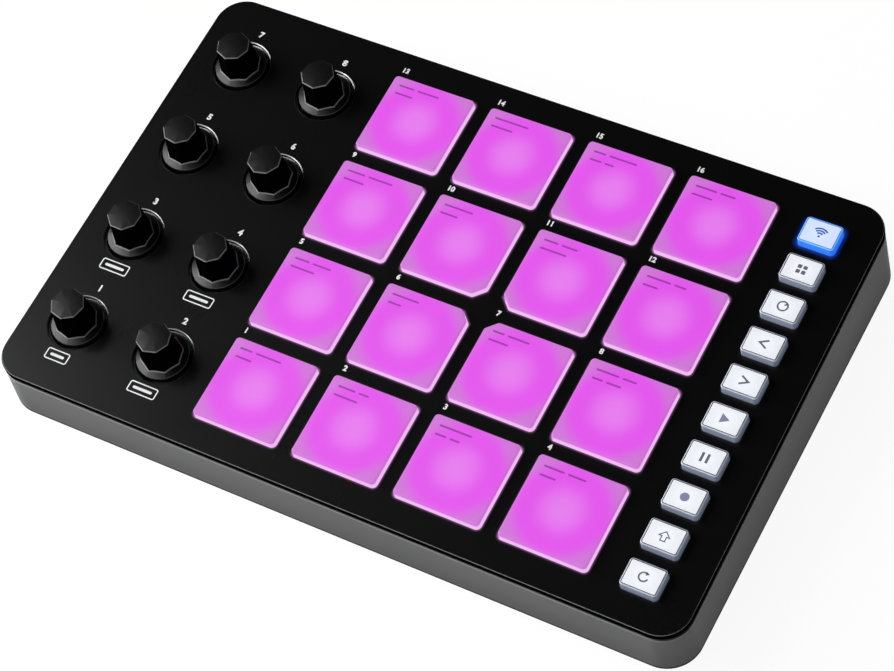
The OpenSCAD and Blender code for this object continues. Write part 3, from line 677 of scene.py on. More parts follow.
@effect([("Colour", TINT, (0.5, 0.5, 0.5, 1.0)), ("Amount", NUMBER, 0.15),
         ("Specks", NUMBER, 0.0)], [("Colour", TINT)])
def colour_drift(net, given, out):
    """Colour that varies a little over a surface, with fine specks."""
    place_on = net.add("TexCoord").outputs["Object"]
    cloudy = net.noise(60.0, 4.0, 0.6, place_on)
    level = net.plus(1.0, net.times(net.minus(cloudy, 0.5), given["Amount"]))
    specks = net.step(net.noise(5200.0, 1.0, 0.5, place_on), 0.66, 0.78)
    level = net.plus(level, net.times(specks, given["Specks"]))
    net.feed(out["Colour"], net.scale(given["Colour"], level))


@effect([("Glow", NUMBER, 0.008), ("Border", NUMBER, 0.0165), ("Top", NUMBER, 0.0021)],
        [("Glow", NUMBER), ("Border", NUMBER), ("Flank", NUMBER)])
def lit_from_below(net, given, out):
    """Masks of a piece lit by a diode under its middle: glow, corners and flanks."""
    x, y, z = net.axes()
    away = net.math("SQRT", net.plus(net.times(x, x), net.times(y, y)))
    cloudy = net.times(net.minus(net.noise(260.0, 2.0), 0.5), 0.0012)
    away = net.plus(away, cloudy)
    glow, border, top = (given[name] for name in ("Glow", "Border", "Top"))
    net.feed(out["Glow"], net.step(away, net.times(glow, 0.15), glow, 1.0, 0.0))
    net.feed(out["Border"], net.step(away, net.times(border, 0.68), border))
    net.feed(out["Flank"], net.step(z, net.times(top, 0.38), net.times(top, 0.93), 1.0, 0.0))


def start_finish(name):
    """New material with a Principled shader; gives None where it was made before."""
    if name in bpy.data.materials:
        return None
    material = bpy.data.materials.new(name)
    material.use_nodes = True
    return Net(material.node_tree), material.node_tree.nodes["Principled BSDF"]


def dress(net, shader, rgb, roughness, grain, depth, drift, amount, specks=0.0):
    """Feeds drifting colour, rubbed gloss and, where it has a depth, fine grain to a shader."""
    tint = net.group(colour_drift(), colour=(*rgb, 1.0), amount=amount, specks=specks)["Colour"]
    net.feed(shader.inputs["Base Color"], tint)
    net.feed(shader.inputs["Roughness"],
             net.group(handling_marks(), roughness=roughness, drift=drift)["Roughness"])
    if depth:
        bump = net.add("Bump")
        bump.inputs["Distance"].default_value = depth
        net.feed(bump.inputs["Height"], net.group(moulded_grain(), scale=grain)["Height"])
        net.feed(shader.inputs["Normal"], bump.outputs[0])
    return tint


def moulded(name, rgb, roughness, grain=2500.0, depth=0.00001, drift=0.12, amount=0.2, specks=0.0,
            metal=0.0, gloss=0.5, ior=1.5):
    """Moulded or metal finish with drifting colour, rubbed gloss and fine grain."""
    made = start_finish(name)
    if made:
        net, shader = made
        dress(net, shader, rgb, roughness, grain, depth, drift, amount, specks)
        shader.inputs["Metallic"].default_value = metal
        shader.inputs["IOR"].default_value = ior
        shader.inputs["Specular IOR Level"].default_value = gloss
    return bpy.data.materials[name]


def panel_finish(s, c):
    """Satin black panel, with the light of the pads and the blue key spilt round them."""
    made = start_finish("panel_satin")
    if made:
        net, shader = made
        dress(net, shader, c.panel, 0.277, grain=2800.0, depth=0.000004, drift=0.018, amount=0.5,
              specks=1.2)
        shader.inputs["Specular IOR Level"].default_value = 0.42
        x, y, _ = net.axes()

        def off(place, middle):
            return net.math("ABSOLUTE", net.minus(place, middle))

        def away(across, along, width, depth, corner):
            """Distance outside a rounded rectangle."""
            beyond = [net.larger(net.minus(place, side / 2 - corner), 0.0)
                      for place, side in ((across, width), (along, depth))]
            squares = [net.times(part, part) for part in beyond]
            return net.minus(net.math("SQRT", net.plus(*squares)), corner)

        def fading(distance, start, end, power):
            return net.math("POWER", net.step(distance, start, end, 1.0, 0.0), power)

        key_x, key_y = key_place(s, 0)
        from_key = away(off(x, key_x), off(y, key_y), s.key_width, s.key_depth, s.key_corner)
        halves = off(x, s.pad_field_x), off(y, 0.0)
        nearest = [net.math("MINIMUM", off(half, 0.5 * s.pad_pitch), off(half, 1.5 * s.pad_pitch))
                   for half in halves]
        from_cut = net.times(net.minus(s.pad_pitch - s.pad_side + s.pad_cut, net.plus(*halves)),
                             math.sqrt(0.5))
        from_pad = net.larger(away(*nearest, s.pad_side, s.pad_side, s.pad_corner), from_cut)
        spill = net.mix(fading(from_key, 0.0, s.key_spill_reach, 2.0), (0.0, 0.0, 0.0, 1.0),
                        (*c.key_spill, 1.0))
        pink = fading(from_pad, s.window_gap - SPILL_START, s.pad_spill_reach, 2.2)
        net.feed(shader.inputs["Emission Color"], net.mix(pink, spill, (*c.pad_spill, 1.0)))
        shader.inputs["Emission Strength"].default_value = 1.0
    return bpy.data.materials["panel_satin"]


def case_finish(s, c):
    """Moulded grey side walls, with painted shade that makes them darker towards the foot and paler
    towards the panel.
    """
    made = start_finish("case_moulding")
    if made:
        net, shader = made
        tint = dress(net, shader, c.case, 0.6, grain=2300.0, depth=0.000008, drift=0.1,
                     amount=0.12)
        shader.inputs["Specular IOR Level"].default_value = 0.25
        # Painted shade: the base colour is scaled down from the panel to the foot
        height = net.step(net.axes()[2], s.foot_height, WALL_SHADE_END)
        net.feed(shader.inputs["Base Color"],
                 net.scale(tint, net.plus(WALL_SHADE_FOOT, net.times(height, WALL_SHADE_GAIN))))
    return bpy.data.materials["case_moulding"]


def pad_finish(s, c):
    """Translucent silicone, lit from below: bright over the diode, pale at the sides."""
    made = start_finish("pad_silicone_lit")
    if made:
        net, shader = made
        masks = net.group(lit_from_below(), glow=s.pad_glow, border=s.pad_border,
                          top=s.pad_height)
        light = (*c.pad_light, 1.0)
        for mask, tint in (("Glow", c.pad_glow), ("Border", c.pad_border),
                           ("Flank", c.pad_flank)):
            light = net.mix(masks[mask], light, (*tint, 1.0))
        net.feed(shader.inputs["Emission Color"],
                 net.group(colour_drift(), colour=light, amount=0.07)["Colour"])
        shader.inputs["Emission Strength"].default_value = 1.0
        dress(net, shader, c.pad_body, 0.55, grain=2200.0, depth=0.000006, drift=0.12,
              amount=0.15)
    return bpy.data.materials["pad_silicone_lit"]


def lit_plastic(name, body, light, strength, glow, roughness=0.4):
    """Lit plastic of a key or of a pad's legend, brighter over its diode."""
    made = start_finish(name)
    if made:
        net, shader = made
        masks = net.group(lit_from_below(), glow=glow, border=2 * glow, top=LIT_TOP)
        dim = tuple(0.8 * part for part in light)
        net.feed(shader.inputs["Emission Color"],
                 net.mix(masks["Glow"], (*dim, 1.0), (*light, 1.0)))
        shader.inputs["Emission Strength"].default_value = strength
        dress(net, shader, body, roughness, grain=0.0, depth=0.0, drift=0.1, amount=0.08)
    return bpy.data.materials[name]


# Pieces

class PanelOperator(bpy.types.Operator):
    """Build the black top panel with its windows, knob recesses, edge and posts"""

    bl_idname = "pad_controller.panel"
    bl_label = "Top panel"

    def execute(self, context):
        s, c = settings(context)
        shape = Shape()
        under = -s.panel_thickness
        lip = under + s.groove_height
        sides = sides_of(s.panel_width, s.panel_depth)

        def outer(inset, z):
            return shape.ring(corner_loop(sides, inset, s.panel_corner, 10), z)

        soft = 0.1 * MM
        rim = [outer(s.groove_depth, under), outer(s.groove_depth, lip), outer(soft, lip),
               outer(0, lip + soft)]
        line = EDGE_RISE * s.panel_edge_highlight
        rim += [outer(inset, -line - drop)
                for inset, drop in chamfer(s.panel_slope, SLOPE_RISE * s.panel_slope)]
        rim.append(outer(s.panel_slope + s.panel_edge_highlight, 0))
        shape.bands(rim, (5, 1), (6, 2))
        tops, bottoms = [rim[-1]], [rim[0]]

        windows = [(pad_sides(s, i), s.pad_corner, pad_place(s, i)) for i in range(PADS)]
        windows += [(sides_of(s.key_width, s.key_depth), s.key_corner, key_place(s, i))
                    for i in range(len(KEYS))]
        profile = [(0, under)] + [(inset, -drop) for inset, drop in fillet(s.window_edge, 3)]
        for outline, corner, at in windows:
            rings = [shape.ring(corner_loop(outline, -s.window_gap - out, corner, 4, at=at), z)
                     for out, z in profile]
            shape.stack(rings)
            tops.append(rings[-1])
            bottoms.append(rings[0])
        wide = s.recess_width / 2
        narrow = wide - s.recess_ledge
        profile = [(narrow, under), (narrow, -s.recess_depth),
                   (wide - s.recess_foot, -s.recess_depth),
                   (wide, RECESS_RISE * s.recess_foot - s.recess_depth)]
        profile += [(wide + inset, -drop)
                    for inset, drop in chamfer(s.recess_edge, RECESS_RISE * s.recess_edge)]
        for i in range(KNOBS):
            rings = [shape.ring(round_loop(r, knob_place(s, i)), z) for r, z in profile]
            shape.bands(rings, (2, 0), (3, 3), (4, 0), (5, 3))
            tops.append(rings[-1])
            bottoms.append(rings[0])
        shape.sheet(tops)
        shape.sheet(bottoms)
        board = under - s.board_drop
        bore = s.screw_width / 2 + THREAD_ROOM
        for x in (s.knob_x + s.knob_gap / 2, screw_places(s)[3][0]):
            for row in (-1, 0, 1):
                shape.tube((x, row * s.pad_pitch), board, under + WELD, s.boss_width / 2, bore)
        upright = Matrix.Rotation(-s.panel_tilt, 4, "X")
        for x, y in screw_places(s):
            post = Shape()
            post.tube((0, 0), -s.post_length, WELD, s.post_width / 2, bore)
            foot = panel_frame(s).inverted() @ Vector((x, y, panel_plane(s, y, s.panel_thickness)))
            bmesh.ops.transform(post.mesh, matrix=Matrix.Translation(foot) @ upright,
                                verts=post.mesh.verts[:])
            data = post.data("post")
            shape.mesh.from_mesh(data)
            bpy.data.meshes.remove(data)
        flank = moulded("panel_flank", c.panel, 0.5, grain=2600.0, depth=0.000006, gloss=0.0)
        # Painted highlight on the strip at the panel's top edge
        edge = moulded("panel_edge_highlight", c.panel_edge_highlight, 0.35, grain=2600.0, depth=0.000004, drift=0.1,
                       amount=0.3, gloss=0.0)
        recess = moulded("recess_edge", c.recess_edge, 0.24, grain=2600.0, depth=0.000003,
                         drift=0.05, amount=0.3, gloss=1.0, ior=1.8)
        place(context, "black_panel", shape, [panel_finish(s, c), flank, edge, recess], "case",
              "panel_black", panel_frame(s), ["top_panel"], sharp=25)
        return {"FINISHED"}


class CaseOperator(bpy.types.Operator):
    """Build the dark grey side walls with the holes in the rear wall"""

    bl_idname = "pad_controller.case"
    bl_label = "Case walls"

    def execute(self, context):
        s, c = settings(context)
        shape = Shape()
        on_panel = panel_frame(s)

        def ring(inset, above_foot, below_top):
            foot = corner_loop(sides_of(s.case_width, s.case_depth), inset, s.case_corner, 12)
            top = corner_loop(sides_of(s.panel_width, s.panel_depth), inset, s.panel_corner, 12)
            places = []
            for one, other in zip(foot, top):
                low = Vector((*one, s.foot_height - s.wall_drop))
                high = on_panel @ Vector((*other, -s.panel_thickness))
                way = (high - low).normalized()
                places.append(low + way * above_foot if below_top is None
                              else high - way * below_top)
            return shape.points(places)

        rings = [ring(drop, inset, None) for inset, drop in fillet(s.wall_foot_edge)]
        rings += [ring(0.0, s.wall_foot_edge + s.wall_foot_shade, None)]
        rings += [ring(inset, None, s.wall_rebate + drop) for inset, drop in fillet(s.wall_edge)]
        rings += [ring(s.groove_depth, None, s.wall_rebate), ring(s.groove_depth, None, 0.0),
                  ring(s.case_wall, None, 0.0), ring(s.case_wall, 0.0, None)]
        # Bands: painted shade at the foot, wall colour, painted highlight on the upper fillet, wall
        # colour
        shape.bands(rings + rings[:1], (5, 2), (6, 0), (10, 1), (len(rings), 0))
        for x, y in screw_places(s):
            low = s.foot_height + s.cover_thickness
            high = panel_plane(s, y, s.panel_thickness) - s.post_length
            shape.tube((x, y), low, high, s.post_width / 2, s.screw_width / 2 + SCREW_ROOM)
        # Painted highlight: the walls' upper fillet takes a paler copy of the wall colour
        edge = moulded("case_edge_highlight", c.case_edge_highlight, 0.45, grain=2300.0, depth=0.000006, drift=0.1,
                       amount=0.12)
        # Painted shade: dark finish for the foot's rounding and the strip above it
        foot = moulded("case_foot_shade", c.case_foot_shade, 0.6, grain=2300.0, depth=0.000006, gloss=0.0)
        walls = place(context, "case_walls", shape, [case_finish(s, c), edge, foot], "case",
                      "case_grey", None, ["case_frame"])
        board = -s.panel_thickness - s.board_drop - s.board_thickness
        socket_room, slot_room, slot_corner = 0.6 * MM, 0.3 * MM, 0.2 * MM
        socket = (s.socket_width + socket_room, s.socket_height + socket_room)
        slot = (s.slider_width + s.slider_way + slot_room, s.slider_height + slot_room)
        for at, size, corner in (
                ((s.socket_x, board - s.socket_height / 2), socket, socket[1] / 2 - 1e-6),
                ((s.switch_x, board - s.switch_height / 2), slot, slot_corner)):
            cutter = Shape()
            loops = []
            for along, flare in REAR_HOLE:
                loop = corner_loop(sides_of(*size), -flare * MM, corner, 8)
                loops.append(cutter.points([on_panel @ Vector((
                    at[0] + x, s.panel_depth / 2 + along * MM, at[1] + z)) for x, z in loop]))
            cutter.solid(loops)
            bmesh.ops.recalc_face_normals(cutter.mesh, faces=cutter.mesh.faces[:])
            tool = bpy.data.objects.new("rear_hole", cutter.data("rear_hole"))
            context.scene.collection.objects.link(tool)
            cut = walls.modifiers.new("rear_hole", "BOOLEAN")
            cut.object = tool
            cut.operation = "DIFFERENCE"
            cut.solver = "EXACT"
            walls.modifiers.move(len(walls.modifiers) - 1, 0)
            flat_faces = walls.modifiers["flat_faces"]
            flat_faces.show_viewport = False
            context.view_layer.update()
            holed = bpy.data.meshes.new_from_object(
                walls.evaluated_get(context.evaluated_depsgraph_get()))
            flat_faces.show_viewport = True
            walls.modifiers.remove(cut)
            walls.data = holed
            bpy.data.objects.remove(tool)
        walls.data.name = "case_walls"
        return {"FINISHED"}


class UndersideOperator(bpy.types.Operator):
    """Finish the base cover, and build the rubber feet and the case screws"""

    bl_idname = "pad_controller.underside"
    bl_label = "Base cover, feet and screws"

    def execute(self, context):
        s, c = settings(context)
        feet = Shape()
        half = s.foot_width / 2
        profile = [(half, s.foot_height + s.foot_sunk)]
        profile += [(half - inset, drop) for inset, drop in fillet(0.5 * MM)]
        profile += [(half - inset * MM, depth * MM) for inset, depth in FOOT_GROOVE]
        profile += [(radius * MM, depth * MM) for radius, depth in FOOT_DIMPLE]
        for x in (-1, 1):
            for y in (-1, 1):
                at = (x * (s.case_width / 2 - s.foot_inset), y * (s.case_depth / 2 - s.foot_inset))
                feet.solid([feet.ring(round_loop(r, at, 48), z) for r, z in profile])
        place(context, "round_feet", feet,
              [moulded("foot_moulding", c.rubber, 0.75, grain=1800.0, depth=0.00002, drift=0.1,
                       amount=0.3)],
              "case", "foot_rubber", None, ["rubber_feet"])
        screws = Shape()
        head, arm, thin = s.screw_head / 2, 1.25 * MM, 0.36 * MM
        point, gap, cross_depth = 0.4 * MM, 1.0 * MM, 0.8 * MM
        quarter = [(arm, -thin), (arm, thin), (thin, thin)]
        cross = []
        for _ in range(4):
            cross += quarter
            quarter = [(-y, x) for x, y in quarter]
        for x, y in screw_places(s):
            low = s.foot_height
            top = low + s.screw_head_height
            end = panel_plane(s, y, s.panel_thickness) - gap
            profile = [(s.screw_width / 2 - point, end), (s.screw_width / 2, end - point),
                       (s.screw_width / 2, top), (head, top)]
            profile += [(head - inset, low + drop) for inset, drop in fillet(0.3 * MM)]
            rings = [screws.ring(round_loop(r, (x, y), 32), z) for r, z in profile]
            screws.stack(rings)
            screws.lid(rings[0])
            mouth = screws.ring([(x + a, y + b) for a, b in cross], low)
            floor = screws.ring([(x + 0.8 * a, y + 0.8 * b) for a, b in cross], low + cross_depth)
            screws.stack([mouth, floor])
            screws.lid(floor)
            screws.sheet([rings[-1], mouth])
        place(context, "case_screw_set", screws,
              [moulded("screw_finish", c.steel, 0.32, grain=3000.0, depth=0.000004, drift=0.15,
                       amount=0.25, metal=1.0)],
              "case", "screw_steel", None, ["case_screws"])
        finish_node("base_cover", moulded("cover_moulding", c.cover, 0.6, grain=1900.0,
                                          depth=0.000016, drift=0.12, amount=0.3))
        return {"FINISHED"}


class PadsOperator(bpy.types.Operator):
    """Build the sixteen lit silicone pads and the bars printed on them"""

    bl_idname = "pad_controller.pads"
    bl_label = "Pads"

    def execute(self, context):
        s, c = settings(context)
        under = -s.panel_thickness
        low = under - s.flange_thickness
        flange = -s.window_gap - s.flange_width
        inner = s.pad_foot + s.pad_rim
        top = s.pad_height - PAD_CROWN[-1][1] * MM
        profile = [(inner, low), (inner, -s.pad_rim_depth), (s.pad_foot, -s.pad_rim_depth),
                   (s.pad_foot, low), (flange, low), (flange, under), (0, under)]
        profile += [(inset, top - drop) for inset, drop in fillet(s.pad_edge, 5)]
        profile += [(inset * MM, top + rise * MM) for inset, rise in PAD_CROWN]
        line_places, line_start, bar_height, bar_gap = (10.5, 7.6), -10.9, 0.6, 1.1
        for i in range(PADS):
            sides = pad_sides(s, i)
            shape = Shape()
            shape.solid([shape.ring(corner_loop(sides, inset, s.pad_corner, 5), z)
                         for inset, z in profile])
            frame_here = panel_frame(s) @ Matrix.Translation((*pad_place(s, i), 0))
            body = f"pad_{i + 1}"
            place(context, f"lit_pad_{i + 1}", shape, [pad_finish(s, c)], body, "pad_silicone",
                  frame_here, [body])
            legend = Shape()
            z = s.pad_height + s.print_lift
            for line, y in zip(PAD_LEGENDS[i], line_places):
                start = line_start * MM
                for bar in line:
                    legend.bar(start, start + bar * MM, y * MM, bar_height * MM, z)
                    start += (bar + bar_gap) * MM
            place(context, f"pad_legend_{i + 1}", legend,
                  [lit_plastic("pad_legend", tuple(0.4 * part for part in c.pad_legend),
                               c.pad_legend, 1.0, LEGEND_GLOW, 0.6)],
                  body, "pad_silicone", frame_here, closed=False)
        return {"FINISHED"}


def key_sign(shape, name, z):
    """Draws the sign of one key, in plain lines and patches."""
    line = 0.5 * MM

    def arc(radius, start, end, at=(0, 0), steps=20):
        turns = [math.radians(start + (end - start) * k / steps) for k in range(steps + 1)]
        return [((at[0] + radius * math.cos(t)) * MM, (at[1] + radius * math.sin(t)) * MM)
                for t in turns]

    def flat(points):
        shape.patch([(x * MM, y * MM) for x, y in points], z)

    if name == "wireless_key":
        shape.patch(round_loop(0.36 * MM, (0, -1.1 * MM), 20), z)
        for radius in (1.1, 1.9, 2.7):
            shape.ribbon(arc(radius, 45, 135, (0, -1.1)), line, z)
    elif name == "pad_bank_key":
        for x in (-0.85, 0.85):
            for y in (-0.85, 0.85):
                shape.patch(corner_loop(sides_of(1.25 * MM, 1.25 * MM), 0, 0.25 * MM, 3,
                                        at=(x * MM, y * MM)), z)
    elif name == "knob_bank_key":
        shape.ribbon(arc(1.5, 0, 360)[:-1], line, z, True)
        shape.ribbon([(0.35 * MM, 0.35 * MM), (1.05 * MM, 1.05 * MM)], line, z)
    elif name in ("left_key", "right_key"):
        way = -1 if name == "left_key" else 1
        shape.ribbon([(-1.2 * way * MM, 1.35 * MM), (1.2 * way * MM, 0.0),
                      (-1.2 * way * MM, -1.35 * MM)], 0.6 * MM, z)
    elif name == "play_key":
        flat(((-1.2, -1.6), (1.5, 0.0), (-1.2, 1.6)))
    elif name == "pause_key":
        for x in (-0.85, 0.85):
            flat(((x - 0.4, -1.5), (x + 0.4, -1.5), (x + 0.4, 1.5), (x - 0.4, 1.5)))
    elif name == "record_key":
        shape.patch(round_loop(1.35 * MM, steps=40), z)
    elif name == "shift_key":
        shape.ribbon([(x * MM, y * MM) for x, y in (
            (0, 1.6), (-1.6, 0.05), (-0.7, 0.05), (-0.7, -1.4), (0.7, -1.4), (0.7, 0.05),
            (1.6, 0.05))], 0.34 * MM, z, True)
    else:
        shape.ribbon(arc(1.35, 60, 350), line, z)
        flat(((0.25, 1.75), (0.25, 0.55), (1.45, 1.15)))


class KeysOperator(bpy.types.Operator):
    """Build the ten lit keys and their signs"""

    bl_idname = "pad_controller.keys"
    bl_label = "Keys"

    def execute(self, context):
        s, c = settings(context)
        under = -s.panel_thickness
        low = under - s.flange_thickness
        top = s.key_height
        white = [lit_plastic("key_white_face", c.key_face, c.key_face, 0.62, FACE_GLOW),
                 lit_plastic("key_white_flank", c.key_flank, c.key_flank_light, 0.22, SIDE_GLOW),
                 moulded("key_line", c.key_line, 0.5),
                 lit_plastic("key_white_edge", c.key_edge, c.key_edge_light, 0.4, SIDE_GLOW)]
        blue = [lit_plastic("key_blue_face", c.blue_face, c.blue_face, 0.5, FACE_GLOW),
                lit_plastic("key_blue_flank", c.blue_body, c.blue_flank, 1.0, SIDE_GLOW),
                lit_plastic("key_blue_line", c.blue_line, c.blue_line_light, 0.7, SIDE_GLOW),
                lit_plastic("key_blue_edge", c.blue_edge, c.blue_edge_light, 0.9, SIDE_GLOW)]
        inks = {"blue": c.blue_sign, "pale": c.key_sign_pale, "grey": c.key_sign}
        sides = sides_of(s.key_width, s.key_depth)
        flange = -s.window_gap - s.key_flange
        rim, soft = s.key_rim, 0.1 * MM
        profile = [(flange, low), (flange, under), (0, under), (0, top - rim),
                   (soft / 2, top - rim + soft), (rim - soft, top - 0.06 * MM),
                   (rim, top - 0.02 * MM)]
        flank_end = len(profile) - 1
        profile += [(rim + inset * MM, top - drop * MM) for inset, drop in KEY_GAP + KEY_FACE]
        gap_end = flank_end + len(KEY_GAP) + 1
        for i, body in enumerate(KEYS):
            shape = Shape()
            rings = [shape.ring(corner_loop(sides, inset, s.key_corner, 5), z)
                     for inset, z in profile]
            shape.bands(rings, (3, 1), (flank_end, 3), (gap_end, 2), (len(rings) - 1, 0))
            shape.lid(rings[0], 1)
            shape.lid(rings[-1], 0)
            frame_here = panel_frame(s) @ Matrix.Translation((*key_place(s, i), 0))
            lit_blue = i == 0
            place(context, f"lit_{body}", shape, blue if lit_blue else white, body,
                  "key_blue" if lit_blue else "key_white", frame_here, [body])
            sign = Shape()
            key_sign(sign, body, top + s.print_lift)
            kind = "blue" if lit_blue else "pale" if body in PALE_SIGNS else "grey"
            place(context, f"{body}_sign", sign, [moulded(f"key_sign_{kind}", inks[kind], 0.5)],
                  body, "case_grey", frame_here, closed=False)
        return {"FINISHED"}


class KnobsOperator(bpy.types.Operator):
    """Build the eight octagonal knobs on their round skirts"""

    bl_idname = "pad_controller.knobs"
    bl_label = "Knobs"

    def execute(self, context):
        s, c = settings(context)
        across = math.cos(math.pi / 8)
        grip = corner_loop([(22.5 + 45 * k, s.knob_foot / 2 * across) for k in range(8)], 0,
                           s.knob_corner, 4, 4)
        polar = [(math.atan2(y, x), math.hypot(x, y)) for x, y in grip]
        shoulder = s.knob_height - s.knob_crown - s.knob_bevel
        shrink = (1 - s.knob_top / s.knob_foot) / shoulder
        skirt = s.skirt_width / 2
        slope = (skirt - s.cone_top / 2) / (s.cone_height - s.skirt_height)
        fine = {"grain": 2600.0, "depth": 0.000003}
        worn = {**fine, "drift": 0.06, "amount": 0.4, "specks": 0.6}
        finishes = [moulded("knob_moulding", c.knob, 0.37, **worn, gloss=0.36),
                    moulded("knob_grip", c.knob, 0.18, **worn, gloss=0.0),
                    # Painted highlight: pale colour on the top's bevel and the grip's crease
                    moulded("knob_edge", c.knob_edge, 0.35, **fine, gloss=0.0),
                    # Painted highlight: pale colour on the skirt's rounded edge
                    moulded("skirt_edge_highlight", c.skirt_edge_highlight, 0.35, **fine, gloss=0.0)]
        soft, skirt_round, grip_bend = 0.2 * MM, 0.3 * MM, 0.6 * MM
        for i, angle in enumerate(KNOB_ANGLES):
            shape = Shape()

            def circle(radius, z):
                return shape.points([(radius * math.cos(a), radius * math.sin(a), z)
                                     for a, _ in polar])

            def grip_ring(height, inset=0.0):
                """Loop on the grip; height gives the height at a corner distance."""
                places = []
                for a, reach in polar:
                    z = height(reach)
                    r = reach * (1 - shrink * z) - inset
                    places.append((r * math.cos(a), r * math.sin(a), z))
                return shape.points(places)

            def crease(reach):
                return (skirt + slope * s.skirt_height - reach) / (slope - reach * shrink)

            rings = [circle(s.bore_width / 2, s.bore_top), circle(s.bore_width / 2, s.hollow_top),
                     circle(s.hollow_width / 2, s.hollow_top),
                     circle(s.hollow_width / 2, -s.skirt_sunk),
                     circle(skirt - soft, -s.skirt_sunk), circle(skirt, soft - s.skirt_sunk)]
            # The skirt's rounded edge carries the skirt's painted highlight
            rings += [circle(skirt - 0.6 * inset, s.skirt_height - drop)
                      for inset, drop in fillet(skirt_round)]
            rings += [grip_ring(lambda reach, up=up: crease(reach) + up * MM, inset * MM)
                      for up, inset in KNOB_CREASE]
            rings.append(grip_ring(lambda reach: shoulder - grip_bend))
            grip_end = len(rings)
            rings.append(grip_ring(lambda reach: shoulder))
            rings.append(grip_ring(lambda reach: s.knob_height - s.knob_crown, 0.5 * s.knob_bevel))
            brim = [vertex.co.copy() for vertex in rings[-1]]
            for part in KNOB_DOME:
                rings.append(shape.points([
                    (part * p.x, part * p.y, s.knob_height - s.knob_crown * part * part)
                    for p in brim]))
            # Bands: the crease rings and the top's bevel take the knob's painted highlight, part of
            # the skirt's rounded edge the skirt's
            shape.bands(rings, (7, 0), (9, 3), (grip_end - 6, 0), (grip_end - 4, 2), (grip_end, 1),
                        (grip_end + 1, 2), (len(rings) - 1, 0))
            shape.lid(rings[0])
            shape.lid(rings[-1])
            body = f"knob_{i + 1}"
            frame_here = (panel_frame(s) @ Matrix.Translation((*knob_place(s, i), 0))
                          @ Matrix.Rotation(math.radians(angle), 4, "Z"))
            bmesh.ops.transform(shape.mesh, matrix=frame_here.to_3x3().to_4x4(),
                                verts=shape.mesh.verts[:])
            place(context, f"grip_{body}", shape, finishes, body, "knob_black",
                  Matrix.Translation(frame_here.translation), [body], sharp=22)
        return {"FINISHED"}


class PrintsOperator(bpy.types.Operator):
    """Print the numbers and boxes on the panel"""

    bl_idname = "pad_controller.prints"
    bl_label = "Numbers and boxes"

    def execute(self, context):
        s, c = settings(context)
        shape = Shape()
        z = s.print_lift
        weight, shift_right = 0.045, 0.3 * MM
        knob_number_y, pad_number_y, pad_number_height = 12.9 * MM, 17.2 * MM, 1.9 * MM
        box_y, box_depth, box_corner, bar_height = -12.25 * MM, 3.75 * MM, 0.7 * MM, 0.9 * MM
        for i in range(KNOBS):
            x, y = knob_place(s, i)
            shape.lettering(context, str(i + 1), s.print_height,
                            (x + shift_right, y + knob_number_y), z, weight)
        for i, width, shift in KNOB_BOXES:
            x, y = knob_place(s, i)
            at = (x + shift * MM, y + box_y)
            box = corner_loop(sides_of(width * MM, box_depth), s.print_line / 2, box_corner, 4,
                              at=at)
            shape.ribbon(box, s.print_line, z, True)
            inside = (width / 2 - 1.5) * MM
            shape.bar(at[0] - inside, at[0] + inside, at[1], bar_height, z)
        for i in range(PADS):
            x, y = pad_place(s, i)
            shape.lettering(context, str(i + 1), pad_number_height,
                            (x - s.pad_side / 2 + shift_right, y + pad_number_y), z, weight, True)
        place(context, "panel_prints", shape, [moulded("white_print", c.white_print, 0.55)],
              "case", "key_white", panel_frame(s), closed=False)
        return {"FINISHED"}


class SwitchOperator(bpy.types.Operator):
    """Build the ridged power slider in the rear wall, and finish the socket beside it"""

    bl_idname = "pad_controller.switch"
    bl_label = "Power slider and lead socket"

    def execute(self, context):
        s, c = settings(context)
        board = -s.panel_thickness - s.board_drop - s.board_thickness
        back = s.panel_depth / 2 - s.case_wall
        room, reach, corner, bevel = 0.15 * MM, 1.0 * MM, 0.3 * MM, 0.2 * MM
        ridge, ridge_gap, ridge_bevel = 0.3 * MM, 0.85 * MM, 0.1 * MM
        start = back - s.switch_height / 2 + room
        end = s.panel_depth / 2 + reach
        x, z = s.switch_x - s.slider_way / 2, board - s.switch_height / 2
        shape = Shape()

        def loop(inset, along, size=(s.slider_width, s.slider_height), at=(x, z)):
            return shape.points([(a, along, b) for a, b in corner_loop(
                sides_of(*size), inset, corner, 4, at=at)])

        shape.solid([loop(0, start), loop(0, end - ridge - bevel), loop(bevel, end - ridge)])
        size = (0.4 * MM, s.slider_height - 0.5 * MM)
        for k in (-1, 0, 1):
            at = (x + k * ridge_gap, z)
            shape.solid([loop(0, end - ridge - ridge_bevel, size, at),
                         loop(0, end - ridge_bevel, size, at), loop(ridge_bevel, end, size, at)])
        place(context, "ridged_slider", shape, [moulded("slider_black", c.slider, 0.5)],
              "power_switch", "knob_black", panel_frame(s), ["power_switch"])
        finish_node("usb_socket", moulded("socket_shell", c.socket, 0.28, grain=3000.0,
                                          depth=0.000003, drift=0.15, metal=1.0))
        finish_node("power_switch_body", moulded("switch_black", c.switch, 0.5))
        return {"FINISHED"}


def finish_node(node, material):
    """Gives a carried-over node its finish."""
    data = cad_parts[node].data
    data.materials.clear()
    data.materials.append(material)


class InsideOperator(bpy.types.Operator):
    """Finish the pieces inside the case"""

    bl_idname = "pad_controller.inside"
    bl_label = "Inside pieces"

    def execute(self, context):
        _, c = settings(context)
        for node, name, rgb, roughness, others in INNER:
            finish_node(node, moulded(name, rgb, roughness, **others))
        finish_node("board_screws", bpy.data.materials["screw_finish"])
        shaft = moulded("shaft_finish", c.shaft, 0.3, grain=4000.0, depth=0.000004, drift=0.2,
                        metal=1.0)
        for i in range(KNOBS):
            finish_node(f"encoder_shaft_{i + 1}", shaft)
        return {"FINISHED"}


